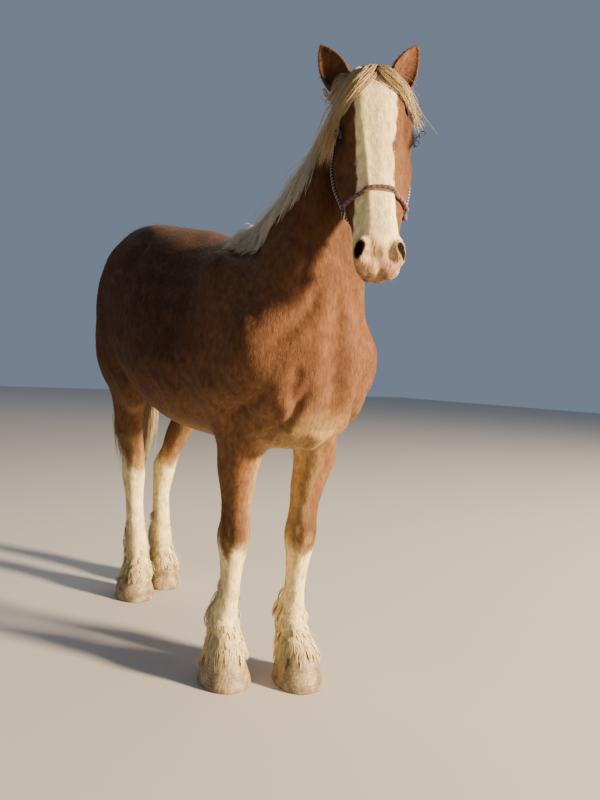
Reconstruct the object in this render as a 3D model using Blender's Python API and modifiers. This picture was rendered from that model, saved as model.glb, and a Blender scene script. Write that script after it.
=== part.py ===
"""Belgian draft horse, standing, as a life-size still model.

Metres, +Z up. The horse faces -Y, so its left side is at +X, and its hooves stand on z = 0.
Every section table is read from the top of a form to its bottom, or from its front to its back.
"""

import math
import random

import bmesh
import bpy
from mathutils import Matrix, Vector
from mathutils.bvhtree import BVHTree

# Driving sizes
GAP = 0.0003            # kept between neighbouring nodes
SLIVER = 0.000001       # a face about this thin joins nothing
LENGTH_SHIFT = -0.42    # brings the middle of the bounding box to the origin
SIDE_SHIFT = 0.0
BODY_VOXEL = 0.022
HEAD_VOXEL = 0.0085
LEFT, RIGHT = 1, -1

# Torso rows: y, top, bottom, half width, height of the widest point, roundness of the upper half
TORSO_ROWS = (
    (-0.385, 1.30, 1.10, 0.10, 1.20, 2.0),
    (-0.33, 1.44, 1.00, 0.20, 1.22, 2.0),
    (-0.22, 1.57, 0.925, 0.275, 1.24, 2.0),
    (-0.05, 1.68, 0.905, 0.305, 1.24, 1.8),
    (0.13, 1.735, 0.905, 0.330, 1.24, 1.5),
    (0.32, 1.728, 0.910, 0.360, 1.25, 1.7),
    (0.52, 1.795, 0.925, 0.375, 1.28, 2.1),
    (0.70, 1.835, 0.975, 0.372, 1.34, 2.4),
    (0.88, 1.870, 1.06, 0.365, 1.42, 2.7),
    (1.05, 1.860, 1.12, 0.360, 1.44, 2.7),
    (1.20, 1.790, 1.17, 0.315, 1.44, 2.5),
    (1.31, 1.675, 1.20, 0.230, 1.43, 2.2),
    (1.385, 1.54, 1.25, 0.110, 1.40, 2.0),
)

# Neck rows: crest point, underside point, half width
NECK_ROWS = (
    ((0.0, 0.20, 1.68), (0.0, -0.26, 1.06), 0.23),
    ((0.005, 0.12, 1.715), (0.0, -0.365, 1.18), 0.210),
    ((0.012, 0.02, 1.775), (0.01, -0.385, 1.32), 0.180),
    ((0.022, -0.09, 1.852), (0.025, -0.37, 1.47), 0.150),
    ((0.033, -0.20, 1.952), (0.05, -0.34, 1.60), 0.126),
    ((0.042, -0.290, 2.062), (0.08, -0.305, 1.72), 0.110),
    ((0.045, -0.350, 2.132), (0.11, -0.28, 1.82), 0.098),
    ((0.045, -0.395, 2.160), (0.115, -0.30, 1.92), 0.078),
)

# Leg rows: height, half width, half length. The axis of each leg is given below them.
FORELEG_ROWS = (
    (1.14, 0.115, 0.180),
    (1.04, 0.108, 0.155),
    (0.96, 0.096, 0.125),
    (0.90, 0.086, 0.102),
    (0.83, 0.074, 0.088),
    (0.75, 0.063, 0.074),
    (0.68, 0.056, 0.064),
    (0.63, 0.056, 0.064),
    (0.575, 0.063, 0.073),
    (0.525, 0.058, 0.066),
    (0.47, 0.047, 0.055),
    (0.38, 0.040, 0.048),
    (0.31, 0.044, 0.054),
    (0.245, 0.060, 0.072),
    (0.195, 0.055, 0.064),
    (0.150, 0.066, 0.076),
    (0.100, 0.078, 0.088),
    (0.060, 0.078, 0.088),
)
HINDLEG_ROWS = (
    (1.30, 0.150, 0.250),
    (1.22, 0.135, 0.230),
    (1.12, 0.112, 0.190),
    (1.04, 0.090, 0.145),
    (0.96, 0.072, 0.110),
    (0.85, 0.065, 0.098),
    (0.75, 0.054, 0.084),
    (0.66, 0.058, 0.088),
    (0.60, 0.055, 0.076),
    (0.53, 0.049, 0.060),
    (0.45, 0.046, 0.055),
    (0.34, 0.050, 0.059),
    (0.255, 0.060, 0.074),
    (0.195, 0.055, 0.066),
    (0.150, 0.066, 0.078),
    (0.100, 0.078, 0.088),
    (0.060, 0.078, 0.088),
)
# Axis of each leg: height, x, y
LEG_AXES = {
    ("fore", RIGHT): (
        (1.14, -0.200, -0.035), (1.04, -0.165, -0.025), (0.92, -0.125, -0.005), (0.83, -0.128, 0.015),
        (0.75, -0.121, 0.030), (0.64, -0.111, 0.042), (0.575, -0.112, 0.048), (0.34, -0.104, 0.080),
        (0.245, -0.112, 0.120), (0.19, -0.108, 0.098), (0.14, -0.110, 0.084), (0.06, -0.112, 0.075),
    ),
    ("fore", LEFT): (
        (1.14, 0.195, -0.035), (1.04, 0.196, -0.035), (0.92, 0.190, -0.035), (0.83, 0.180, -0.032),
        (0.75, 0.158, -0.030), (0.64, 0.143, -0.030), (0.575, 0.139, -0.030), (0.34, 0.138, -0.005),
        (0.245, 0.138, 0.020), (0.19, 0.137, -0.005), (0.14, 0.136, -0.035), (0.06, 0.135, -0.060),
    ),
    ("hind", RIGHT): (
        (1.30, -0.175, 1.07), (1.12, -0.172, 1.07), (1.04, -0.168, 1.08), (0.96, -0.167, 1.09),
        (0.85, -0.155, 1.115), (0.75, -0.116, 1.150), (0.66, -0.106, 1.168), (0.45, -0.101, 1.140),
        (0.34, -0.092, 1.135), (0.255, -0.083, 1.142), (0.19, -0.084, 1.122), (0.14, -0.087, 1.105),
        (0.06, -0.096, 1.090),
    ),
    ("hind", LEFT): (
        (1.30, 0.175, 1.07), (1.12, 0.175, 1.07), (1.04, 0.173, 1.085), (0.96, 0.168, 1.105),
        (0.85, 0.143, 1.160), (0.75, 0.122, 1.210), (0.66, 0.108, 1.262), (0.49, 0.092, 1.264),
        (0.34, 0.098, 1.262), (0.255, 0.102, 1.270), (0.19, 0.099, 1.243), (0.14, 0.098, 1.220),
        (0.06, 0.097, 1.200),
    ),
}
# Middle of each sole: x, y, degrees the toe turns out
HOOVES = {
    ("fore", RIGHT): (-0.112, 0.072, 6),
    ("fore", LEFT): (0.134, -0.066, 6),
    ("hind", RIGHT): (-0.098, 1.090, 8),
    ("hind", LEFT): (0.098, 1.195, 8),
}

# Head frame: origin at the poll, first axis to the horse's left, second down the face, third out of it
POLL = Vector((0.037, -0.462, 2.175))
HEAD_YAW = math.radians(30)      # turned to the horse's right
HEAD_TILT = math.radians(18)     # nose forward of plumb
HEAD_ROLL = math.radians(0.8)    # muzzle to the horse's left
# Head rows: down the face, face line, jaw line, half widths of face, cheek and jaw, line of the cheek
HEAD_ROWS = (
    (-0.040, -0.085, -0.190, 0.026, 0.068, 0.045, -0.135),
    (0.015, -0.022, -0.240, 0.045, 0.094, 0.062, -0.120),
    (0.085, 0.002, -0.268, 0.064, 0.108, 0.074, -0.100),
    (0.160, 0.011, -0.286, 0.074, 0.114, 0.082, -0.080),
    (0.235, 0.009, -0.292, 0.071, 0.118, 0.085, -0.085),
    (0.305, 0.003, -0.278, 0.060, 0.123, 0.080, -0.105),
    (0.375, -0.004, -0.245, 0.050, 0.115, 0.064, -0.108),
    (0.445, -0.009, -0.208, 0.044, 0.098, 0.050, -0.096),
    (0.510, -0.013, -0.180, 0.040, 0.081, 0.044, -0.088),
    (0.570, -0.018, -0.160, 0.040, 0.071, 0.044, -0.086),
    (0.630, -0.027, -0.152, 0.044, 0.074, 0.047, -0.085),
    (0.675, -0.045, -0.146, 0.040, 0.066, 0.044, -0.090),
    (0.698, -0.076, -0.130, 0.024, 0.044, 0.030, -0.100),
)
EYE = Vector((0.0975, 0.243, -0.060))      # centre of the left eyeball
EYE_FACING = Vector((0.86, 0.10, 0.50))
EYE_RADIUS = 0.0225
LID_THICKNESS = 0.005
LID_OPENING = (0.0110, 0.0185, 0.0135)     # half sizes of the almond
NOSTRIL = Vector((0.062, 0.645, -0.052))
MOUTH_DEPTH = -0.122                       # of the line of the mouth, below the face
MOUTH_CORNER = 0.622                       # how far down the face the lips part
MOUTH_GAP = 0.0035
EAR_BASE = Vector((0.076, 0.026, -0.134))
EAR_TIPS = {LEFT: Vector((0.172, -0.198, -0.125)), RIGHT: Vector((0.164, -0.166, -0.125))}
EAR_FACING = Vector((0.42, 0.10, 1.0))
# Ear rows: share of its length, half width, half depth, shift towards the back
EAR_ROWS = (
    (0.0, 0.030, 0.030, 0.0),
    (0.16, 0.040, 0.034, 0.002),
    (0.34, 0.047, 0.031, 0.004),
    (0.54, 0.046, 0.025, 0.004),
    (0.74, 0.035, 0.017, 0.003),
    (0.89, 0.019, 0.009, 0.001),
    (1.0, 0.003, 0.003, 0.0),
)
# Cup rows: the same for what is cut out of the ear, shifted towards its opening
EAR_CUP_ROWS = (
    (0.16, 0.010, 0.010, -0.018),
    (0.26, 0.031, 0.026, -0.016),
    (0.40, 0.039, 0.027, -0.015),
    (0.56, 0.039, 0.022, -0.013),
    (0.74, 0.028, 0.014, -0.010),
    (0.87, 0.013, 0.008, -0.006),
    (0.94, 0.003, 0.004, -0.005),
)

# Muscles rounded into the trunk: centre, radii, forward lean in degrees. All are mirrored.
BODY_MUSCLES = (
    ((0.190, 0.00, 1.40), (0.095, 0.13, 0.28), -36),    # shoulder blade
    ((0.215, 0.075, 1.15), (0.090, 0.16, 0.140), -20),  # back of the arm
    ((0.190, -0.19, 1.24), (0.120, 0.13, 0.17), 10),    # point of the shoulder
    ((0.100, -0.270, 1.10), (0.110, 0.11, 0.18), 0),    # breast
    ((0.140, 0.90, 1.69), (0.150, 0.36, 0.175), 4),     # double croup
    ((0.195, 1.08, 1.36), (0.150, 0.25, 0.32), 12),     # thigh
    ((0.195, 0.94, 1.10), (0.080, 0.11, 0.13), 0),      # stifle
    ((0.120, 1.26, 1.34), (0.120, 0.15, 0.30), -4),     # buttock
)
HEAD_MUSCLES = (
    ((0.072, 0.205, -0.185), (0.042, 0.115, 0.090), 0),  # cheek plate
    ((0.084, 0.222, -0.056), (0.038, 0.064, 0.044), 0),  # bone round the eye
    ((0.084, 0.330, -0.106), (0.024, 0.100, 0.015), 4),  # facial crest
    ((0.056, 0.640, -0.058), (0.027, 0.048, 0.036), 0),  # wing of the nostril
    ((0.024, 0.680, -0.080), (0.044, 0.034, 0.040), 0),  # upper lip
    ((0.014, 0.668, -0.140), (0.032, 0.032, 0.018), 0),  # lower lip
    ((0.010, 0.625, -0.155), (0.032, 0.032, 0.018), 0),  # chin
)

# Hock rows: height, distance behind the leg's axis, half thickness
HOCK_ROWS = (
    (0.88, 0.070, 0.030),
    (0.80, 0.070, 0.021),
    (0.735, 0.074, 0.024),
    (0.685, 0.072, 0.027),
    (0.62, 0.045, 0.030),
)

HOOF_HEIGHT = 0.098
HOOF_HALF_WIDTH = 0.096
HOOF_HALF_LENGTH = 0.110
CORONET_SHARE = 0.80         # of the sole's size, at the hoof's top
CORONET_SLOPE = math.radians(16)
HOOF_SET_BACK = 0.026        # of the coronet behind the sole's middle

FORELEG_CUT = 0.885          # heights where the legs part from the trunk
HINDLEG_CUT = 1.00
WITHERS_CUT = Vector((0.0, 0.235, 1.76))     # the neck parts from the trunk in a plane through
BREAST_CUT = Vector((0.0, -0.43, 1.13))      # these two points

# Dock of the tail: height and distance back of its middle, half width, half thickness
DOCK_ROWS = (
    (1.600, 1.315, 0.030, 0.030),
    (1.585, 1.360, 0.038, 0.034),
    (1.520, 1.405, 0.040, 0.034),
    (1.420, 1.425, 0.036, 0.030),
    (1.320, 1.430, 0.028, 0.024),
    (1.250, 1.432, 0.014, 0.012),
)
# Hair of the tail: height and distance back of its middle, half width, half depth
TAIL_ROWS = (
    (1.600, 1.330, 0.036, 0.034),
    (1.520, 1.405, 0.056, 0.044),
    (1.400, 1.432, 0.078, 0.050),
    (1.200, 1.442, 0.105, 0.054),
    (1.000, 1.448, 0.125, 0.056),
    (0.820, 1.452, 0.135, 0.054),
    (0.680, 1.455, 0.135, 0.048),
    (0.600, 1.458, 0.120, 0.040),
)

ROPE = 0.0048                # radius of the halter's rope
NOSEBAND = 0.0080            # radius where it is wrapped over the nose
ABOVE = 0.05                 # how far outside its guide a rope's line drops from
CLEAR = 0.0010               # between a rope and the coat it lies on
HALTER_LOW = 0.462           # how far down the face the noseband lies
KNOT = 0.0105
# Locks of hair: shares of width and of thickness from root to tip, then the width and thickness of each kind
LOCK_SHAPE = ((0.42, 1.0), (0.9, 1.0), (1.0, 0.95), (0.86, 0.8), (0.5, 0.55))
MANE_LOCK = (0.054, 0.0064)
MANE_LENGTH = (0.22, 0.30)
MANE_LIFTS = (0.0090, 0.0200)       # layers of locks, over the skin of the neck
MANE_ROOTS = (-0.052, 0.006)        # how far to the horse's left of the crest each layer is rooted
MANE_COUNT = 20
FORELOCK_LOCK = (0.032, 0.0055)
FORELOCK_LENGTH = (0.18, 0.26)
FORELOCK_LIFTS = (0.0070, 0.0160)
FORELOCK_ROOTS = (0.034, 0.002)             # how far down the face each layer is rooted
FORELOCK_COUNT = 14
FEATHER_LOCK = (0.034, 0.0080)
FEATHER_ROWS = ((0.300, 5, 0.110, 0.0140), (0.235, 5, 0.085, 0.0060))    # height, count, length, lift
TAIL_LOCK = (0.056, 0.013)
TAIL_TIERS = ((1.53, 7, 0.90, 1.0), (1.43, 6, 0.82, 0.72), (1.33, 5, 0.70, 0.42))   # root height, count,
                                            # length, share of the tail's outline it fills
HEAD_CORE = -0.13            # height of the head's core line, below the face
# Headstall of one side, in the head frame, from the noseband to the poll
HEADSTALL_ROWS = (
    (0.115, 0.455, -0.120),
    (0.125, 0.40, -0.135),
    (0.135, 0.32, -0.150),
    (0.135, 0.24, -0.160),
    (0.130, 0.16, -0.165),
    (0.128, 0.09, -0.180),
    (0.120, 0.03, -0.190),
    (0.095, -0.035, -0.180),
    (0.055, -0.080, -0.160),
    (0.0, -0.095, -0.150),
)


def clear_scene():
    for old in list(bpy.data.objects):
        bpy.data.objects.remove(old)
    for old in list(bpy.data.meshes):
        bpy.data.meshes.remove(old)


def collection(name):
    made = bpy.data.collections.new(name)
    bpy.context.scene.collection.children.link(made)
    return made


def material(name, colour, roughness, metallic=0.0):
    made = bpy.data.materials.new(name)
    made.use_nodes = True
    shader = made.node_tree.nodes["Principled BSDF"]
    shader.inputs["Base Color"].default_value = (*colour, 1.0)
    shader.inputs["Roughness"].default_value = roughness
    shader.inputs["Metallic"].default_value = metallic
    return made


def object_of(name, mesh, group):
    made = bpy.data.objects.new(name, mesh)
    group.objects.link(made)
    return made


def mesh_of(shape, name):
    """Ends a bmesh as a mesh whose faces point out."""
    bmesh.ops.remove_doubles(shape, verts=shape.verts, dist=1e-6)
    bmesh.ops.recalc_face_normals(shape, faces=shape.faces)
    mesh = bpy.data.meshes.new(name)
    shape.to_mesh(mesh)
    shape.free()
    return mesh


def smooth_rows(rows, steps):
    """Rows of numbers with more rows between them, on a Catmull-Rom curve."""
    made = []
    for i in range(len(rows) - 1):
        four = [rows[max(0, min(len(rows) - 1, i + k))] for k in (-1, 0, 1, 2)]
        for step in range(steps):
            t = step / steps
            made.append(tuple(
                b + 0.5 * t * (c - a + t * (2 * a - 5 * b + 4 * c - d + t * (3 * (b - c) + d - a)))
                for a, b, c, d in zip(*four)
            ))
    made.append(tuple(rows[-1]))
    return made


def loft(rings, name):
    """A closed skin over rings of points, all with the same count."""
    shape = bmesh.new()
    loops = []
    for ring in rings:
        verts = [shape.verts.new(point) for point in ring]
        loops.append(verts)
    count = len(rings[0])
    for first, second in zip(loops, loops[1:]):
        for k in range(count):
            n = (k + 1) % count
            shape.faces.new((first[k], first[n], second[n], second[k]))
    shape.faces.new(loops[0])
    shape.faces.new(loops[-1])
    return mesh_of(shape, name)


def rounded(angle, power):
    """The unit superellipse's point at an angle."""
    c, s = math.cos(angle), math.sin(angle)
    return (
        math.copysign(abs(c) ** (2 / power), c),
        math.copysign(abs(s) ** (2 / power), s),
    )


def torso_mesh(sides=28):
    rings = []
    for y, top, bottom, width, middle, power in smooth_rows(TORSO_ROWS, 3):
        ring = []
        for k in range(sides):
            angle = 2 * math.pi * k / sides
            upper = math.sin(angle) >= 0
            across, up = rounded(angle, power if upper else 2.2)
            ring.append((across * width, y, middle + up * (top - middle if upper else middle - bottom)))
        rings.append(ring)
    return loft(rings, "torso")


def neck_mesh(sides=24, thin_crest=0.28):
    flat = [(*crest, *under, width) for crest, under, width in NECK_ROWS]
    rings = []
    for row in smooth_rows(flat, 3):
        crest, under, width = Vector(row[0:3]), Vector(row[3:6]), row[6]
        middle, up = (crest + under) / 2, (crest - under) / 2
        across = Vector((1, 0, 0))
        across = (across - across.project(up)).normalized()
        ring = []
        for k in range(sides):
            angle = 2 * math.pi * k / sides
            side, height = math.cos(angle), math.sin(angle)
            ring.append(middle + across * side * width * (1 - thin_crest * height) + up * height)
        rings.append(ring)
    return loft(rings, "neck")


def on_axis(kind, side, height):
    """The middle of a leg's section at a height."""
    points = LEG_AXES[kind, side]
    for (z1, x1, y1), (z2, x2, y2) in zip(points, points[1:]):
        if height >= z2:
            share = max(0.0, min(1.0, (z1 - height) / (z1 - z2)))
            return x1 + (x2 - x1) * share, y1 + (y2 - y1) * share
    return points[-1][1:]


def leg_mesh(kind, side, sides=18):
    rows = FORELEG_ROWS if kind == "fore" else HINDLEG_ROWS
    rings = []
    for height, width, length in smooth_rows(rows, 3):
        x, y = on_axis(kind, side, height)
        ring = []
        for k in range(sides):
            across, along = rounded(2 * math.pi * k / sides, 2.15)
            ring.append((x + across * width, y + along * length, height))
        rings.append(ring)
    return loft(rings, f"{kind}leg")


def head_matrix():
    """Takes the head frame (left, down the face, out of the face) to the world."""
    forward = Vector((-math.sin(HEAD_YAW), -math.cos(HEAD_YAW), 0))
    left = Vector((math.cos(HEAD_YAW), -math.sin(HEAD_YAW), 0))
    down = forward * math.sin(HEAD_TILT) - Vector((0, 0, math.cos(HEAD_TILT)))
    out = forward * math.cos(HEAD_TILT) + Vector((0, 0, math.sin(HEAD_TILT)))
    turned = Matrix((left, down, out)).transposed().to_4x4()
    return Matrix.Translation(POLL) @ turned @ Matrix.Rotation(-HEAD_ROLL, 4, "Z")


def head_mesh():
    """The skull's outline, in the head frame, without its muscles."""
    rings = []
    for along, face, jaw, w_face, w_cheek, w_jaw, cheek in smooth_rows(HEAD_ROWS, 3):
        depth = face - jaw
        half = [
            (0.0, face),
            (w_face * 0.75, face - 0.02 * depth),
            (w_face * 1.25, face - 0.12 * depth),
            (w_cheek, cheek),
            (w_cheek * 0.93, (cheek + jaw) / 2 + 0.08 * depth),
            (w_jaw, jaw + 0.13 * depth),
            (w_jaw * 0.5, jaw + 0.012 * depth),
            (0.0, jaw),
        ]
        outline = half + [(-x, n) for x, n in reversed(half[1:-1])]
        rings.append([(x, along, n) for x, n in outline])
    return loft(rings, "head")


def ball_mesh(centre, radii, lean=0.0, segments=20, name="ball"):
    """An ellipsoid, leaning forward about the side axis."""
    shape = bmesh.new()
    place = (
        Matrix.Translation(centre)
        @ Matrix.Rotation(math.radians(lean), 4, "X")
        @ Matrix.Diagonal((*radii, 1))
    )
    bmesh.ops.create_uvsphere(shape, u_segments=segments, v_segments=segments // 2, radius=1, matrix=place)
    return mesh_of(shape, name)


def mirrored_balls(rows):
    for centre, radii, lean in rows:
        for side in (LEFT, RIGHT):
            yield ball_mesh((centre[0] * side, *centre[1:]), radii, lean)


def hock_mesh(side):
    """The point of the hock and the tendon above it."""
    rings = []
    for height, back, thick in HOCK_ROWS:
        x, y = on_axis("hind", side, height)
        rings.append([
            (x + thick * math.cos(a), y + back + 1.25 * thick * math.sin(a), height)
            for a in (2 * math.pi * k / 12 for k in range(12))
        ])
    return loft(rings, "hock")


def joined(name, meshes, group, place=None):
    """One object that holds several closed meshes, moved by place. Its faces point out even when mirrored."""
    shape = bmesh.new()
    for mesh in meshes:
        if place is not None:
            mesh.transform(place)
            if place.determinant() < 0:
                mesh.flip_normals()
        shape.from_mesh(mesh)
        bpy.data.meshes.remove(mesh)
    mesh = bpy.data.meshes.new(name)
    shape.to_mesh(mesh)
    shape.free()
    return object_of(name, mesh, group)


def applied(obj):
    """Ends an object's modifiers in its mesh."""
    bpy.context.view_layer.update()
    graph = bpy.context.evaluated_depsgraph_get()
    mesh = bpy.data.meshes.new_from_object(obj.evaluated_get(graph))
    old = obj.data
    obj.modifiers.clear()
    obj.data = mesh
    bpy.data.meshes.remove(old)
    return obj


def melted(obj, voxel, smoothing, share, firm_below=None):
    """Melts overlapping forms into one soft skin of fewer faces. Low down, the skin keeps its size."""
    remesh = obj.modifiers.new("one skin", "REMESH")
    remesh.mode = "VOXEL"
    remesh.voxel_size = voxel
    applied(obj)
    if firm_below is not None:
        soft = obj.vertex_groups.new(name="trunk")
        for vert in obj.data.vertices:
            weight = max(0.0, min(1.0, (vert.co.z - firm_below) / 0.25))
            soft.add([vert.index], weight, "REPLACE")
        trunk = obj.modifiers.new("soft trunk", "SMOOTH")
        trunk.factor = 0.5
        trunk.iterations = 22
        trunk.vertex_group = "trunk"
    smooth = obj.modifiers.new("soft", "SMOOTH")
    smooth.factor = 0.5
    smooth.iterations = smoothing
    fewer = obj.modifiers.new("fewer faces", "DECIMATE")
    fewer.ratio = share
    applied(obj)
    obj.vertex_groups.clear()
    return obj


def hidden(obj):
    obj.hide_render = True
    obj.display_type = "WIRE"
    return obj


def block(name, frame, size, group):
    """A cutter box: its near face is the frame's XY plane, and it stretches along +Z."""
    shape = bmesh.new()
    place = frame @ Matrix.Translation((0, 0, size[2] / 2)) @ Matrix.Diagonal((*size, 1))
    bmesh.ops.create_cube(shape, size=1, matrix=place)
    return hidden(object_of(name, mesh_of(shape, name), group))


def cut(obj, cutter, operation, solver="MANIFOLD"):
    change = obj.modifiers.new("cut", "BOOLEAN")
    change.object = cutter
    change.operation = operation
    change.solver = solver
    return applied(obj)


def copy_of(obj, name, group):
    made = object_of(name, obj.data.copy(), group)
    made.matrix_world = obj.matrix_world.copy()
    return made


def grown(obj, name, amount, group):
    """A copy of a node with its skin moved out, to cut its neighbour clear of it."""
    made = hidden(copy_of(obj, name, group))
    push = made.modifiers.new("clearance", "DISPLACE")
    push.strength = amount
    push.mid_level = 0
    return applied(made)


def patches(faces, shut=()):
    """Groups of faces joined edge to edge, but not over the shut edges, the largest last."""
    left, found = set(faces), []
    while left:
        front = [left.pop()]
        patch = set(front)
        while front:
            for edge in front.pop().edges:
                if edge in shut:
                    continue
                for face in edge.link_faces:
                    if face in left:
                        left.discard(face)
                        patch.add(face)
                        front.append(face)
        found.append(patch)
    return sorted(found, key=len)


def closes_up(patch):
    """True if a patch of faces bounds a body of its own, but for a slit too thin to see."""
    turned = sum((face.normal * face.calc_area() for face in patch), Vector())
    return turned.length < 0.02 * sum(face.calc_area() for face in patch)


def slit_edges(shape):
    """Edges that lie one on another, where two surfaces all but part."""
    same = bmesh.ops.find_doubles(shape, verts=shape.verts, dist=2 * SLIVER)["targetmap"]
    ends = {}
    for edge in shape.edges:
        key = frozenset(same.get(vert, vert) for vert in edge.verts)
        ends.setdefault(key, []).append(edge)
    return {edge for edges in ends.values() if len(edges) > 1 for edge in edges}


def keep_largest(obj):
    """Drops the loose scraps and closed pockets of a cut mesh, with those that only a sliver joins to it."""
    shape = bmesh.new()
    shape.from_mesh(obj.data)
    shut = slit_edges(shape)
    broad = {face for face in shape.faces if face.calc_area() > SLIVER * face.calc_perimeter()}
    found = patches(broad, shut)[:-1]
    scraps = [face for patch in found if closes_up(patch) for face in patch]
    beside = {face for scrap in scraps for vert in scrap.verts for face in vert.link_faces}
    for patch in patches(set(shape.faces) - broad, shut):
        if not beside.isdisjoint(patch):
            scraps += list(patch)
    if scraps:
        bmesh.ops.delete(shape, geom=scraps, context="FACES")
    rims = {vert for edge in shape.edges if edge.is_boundary for vert in edge.verts}
    bmesh.ops.remove_doubles(shape, verts=list(rims), dist=2 * SLIVER)
    slits = [edge for edge in shape.edges if edge.is_boundary]
    if slits:
        bmesh.ops.holes_fill(shape, edges=slits, sides=0)
    shape.to_mesh(obj.data)
    shape.free()
    return obj


def plane_frame(point, normal, up=Vector((1, 0, 0))):
    """A frame whose +Z is the plane's normal."""
    z = Vector(normal).normalized()
    x = (up - up.project(z)).normalized()
    y = z.cross(x)
    return Matrix.Translation(point) @ Matrix((x, y, z)).transposed().to_4x4()


def split(body, name, point, normal, size, parts, cutters):
    """Takes the stretch beyond a plane off the body, as a node of its own, with the gap between them."""
    frame = plane_frame(Vector(point), normal)
    away = Vector(normal).normalized() * GAP / 2
    piece = copy_of(body, name, parts)
    outer = block(f"{name}_keep", Matrix.Translation(away) @ frame, size, cutters)
    cut(piece, outer, "INTERSECT")
    inner = block(f"{name}_leave", Matrix.Translation(-away) @ frame, size, cutters)
    cut(body, inner, "DIFFERENCE")
    return keep_largest(piece)


def hoof_mesh(kind, side):
    """A hoof standing on z = 0, its top sloping down to the heels."""
    middle_x, middle_y, turn = HOOVES[kind, side]
    levels = ((0.97, 0.0), (1.0, 0.010), ((1 + CORONET_SHARE) / 2, 0.5 * HOOF_HEIGHT), (CORONET_SHARE, HOOF_HEIGHT))
    rings = []
    for share, rise in levels:
        level = rise / HOOF_HEIGHT
        ring = []
        for k in range(18):
            across, along = rounded(2 * math.pi * k / 18, 2.2)
            x = across * HOOF_HALF_WIDTH * share
            y = along * HOOF_HALF_LENGTH * share
            height = rise - level * math.tan(CORONET_SLOPE) * y
            ring.append((x, y + HOOF_SET_BACK * level, height))
        rings.append(ring)
    mesh = loft(rings, "hoof")
    toe_out = Matrix.Rotation(math.radians(turn * -side), 4, "Z")
    mesh.transform(Matrix.Translation((middle_x, middle_y, 0)) @ toe_out)
    return mesh


def part_hoof(leg, name, kind, side, parts, cutters):
    """Cuts the leg off just above the coronet, and stands a hoof under it."""
    x, y, turn = HOOVES[kind, side]
    toe_out = Matrix.Rotation(math.radians(turn * -side), 4, "Z")
    top = Matrix.Translation((x, y, 0)) @ toe_out @ Matrix.Translation((0, HOOF_SET_BACK, HOOF_HEIGHT))
    down = top @ Matrix.Rotation(math.pi - CORONET_SLOPE, 4, "X")
    cutter = block(f"{name}_top", Matrix.Translation((0, 0, GAP)) @ down, (0.5, 0.5, 0.3), cutters)
    cut(leg, cutter, "DIFFERENCE")
    keep_largest(leg)
    return object_of(name, hoof_mesh(kind, side), parts)


def ear_frame(tip):
    z = (tip - EAR_BASE).normalized()
    y = -(EAR_FACING - EAR_FACING.project(z)).normalized()
    x = y.cross(z)
    return Matrix.Translation(EAR_BASE) @ Matrix((x, y, z)).transposed().to_4x4()


def ear_mesh(rows, length, name, sides=8):
    rings = []
    for share, width, depth, back in rows:
        rings.append([
            (width * math.cos(a), back + depth * math.sin(a), share * length)
            for a in (2 * math.pi * k / sides for k in range(sides))
        ])
    return loft(rings, name)


def mirror_side(side):
    return Matrix.Diagonal((side, 1, 1, 1))


def add_ear(name, side, place, head, parts, cutters):
    tip = EAR_TIPS[side]
    length = (tip - EAR_BASE).length
    moved = place @ mirror_side(side) @ ear_frame(tip)
    ear = joined(name, [ear_mesh(EAR_ROWS, length, name)], parts, moved)
    cup = joined(f"{name}_cup", [ear_mesh(EAR_CUP_ROWS, length, name)], cutters, moved)
    cut(ear, hidden(cup), "DIFFERENCE")
    cut(ear, grown(head, f"{name}_seat", GAP, cutters), "DIFFERENCE")
    return keep_largest(ear)


def looking(point, facing):
    """A frame at a point whose +Z looks out, and whose +Y is as near as can be down the face."""
    z = facing.normalized()
    y = Vector((0, 1, 0))
    y = (y - y.project(z)).normalized()
    x = y.cross(z)
    return Matrix.Translation(point) @ Matrix((x, y, z)).transposed().to_4x4()


def add_eye(name, side, place, head, parts, cutters):
    """Lids stand on the head round the eyeball, open in an almond."""
    frame = place @ mirror_side(side) @ looking(EYE, EYE_FACING)
    turned = frame @ Matrix.Rotation(math.radians(11), 4, "Z")
    lids = joined(f"{name}_lids", [ball_mesh((0, 0, 0), [EYE_RADIUS + LID_THICKNESS] * 3, segments=16)],
                  cutters, frame)
    cut(head, hidden(lids), "UNION")
    socket = joined(f"{name}_socket", [ball_mesh((0, 0, 0), [EYE_RADIUS + 2 * GAP] * 3, segments=10)],
                    cutters, turned)
    cut(head, hidden(socket), "DIFFERENCE")
    opening = ball_mesh((0, 0.0007, EYE_RADIUS + LID_THICKNESS), LID_OPENING, lean=4, segments=12)
    cut(head, hidden(joined(f"{name}_opening", [opening], cutters, frame)), "DIFFERENCE")
    return joined(name, [ball_mesh((0, 0, 0), [EYE_RADIUS] * 3, segments=10)], parts, turned)


def open_nostrils_and_mouth(head, place, cutters):
    for side in (LEFT, RIGHT):
        hole = ball_mesh((0, 0, 0), (0.016, 0.025, 0.012), segments=12)
        turned = (
            Matrix.Translation((NOSTRIL.x * side, NOSTRIL.y, NOSTRIL.z + 0.022))
            @ Matrix.Rotation(math.radians(52 * side), 4, "Y")
            @ Matrix.Rotation(math.radians(-24 * side), 4, "Z")
        )
        cut(head, hidden(joined(f"nostril_{side}", [hole], cutters, place @ turned)), "DIFFERENCE")
    lips = plane_frame((0, MOUTH_CORNER, MOUTH_DEPTH), (0, 1, 0.10))
    cut(head, block("mouth", place @ lips, (0.3, MOUTH_GAP, 0.2), cutters), "DIFFERENCE")
    return keep_largest(head)


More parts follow.
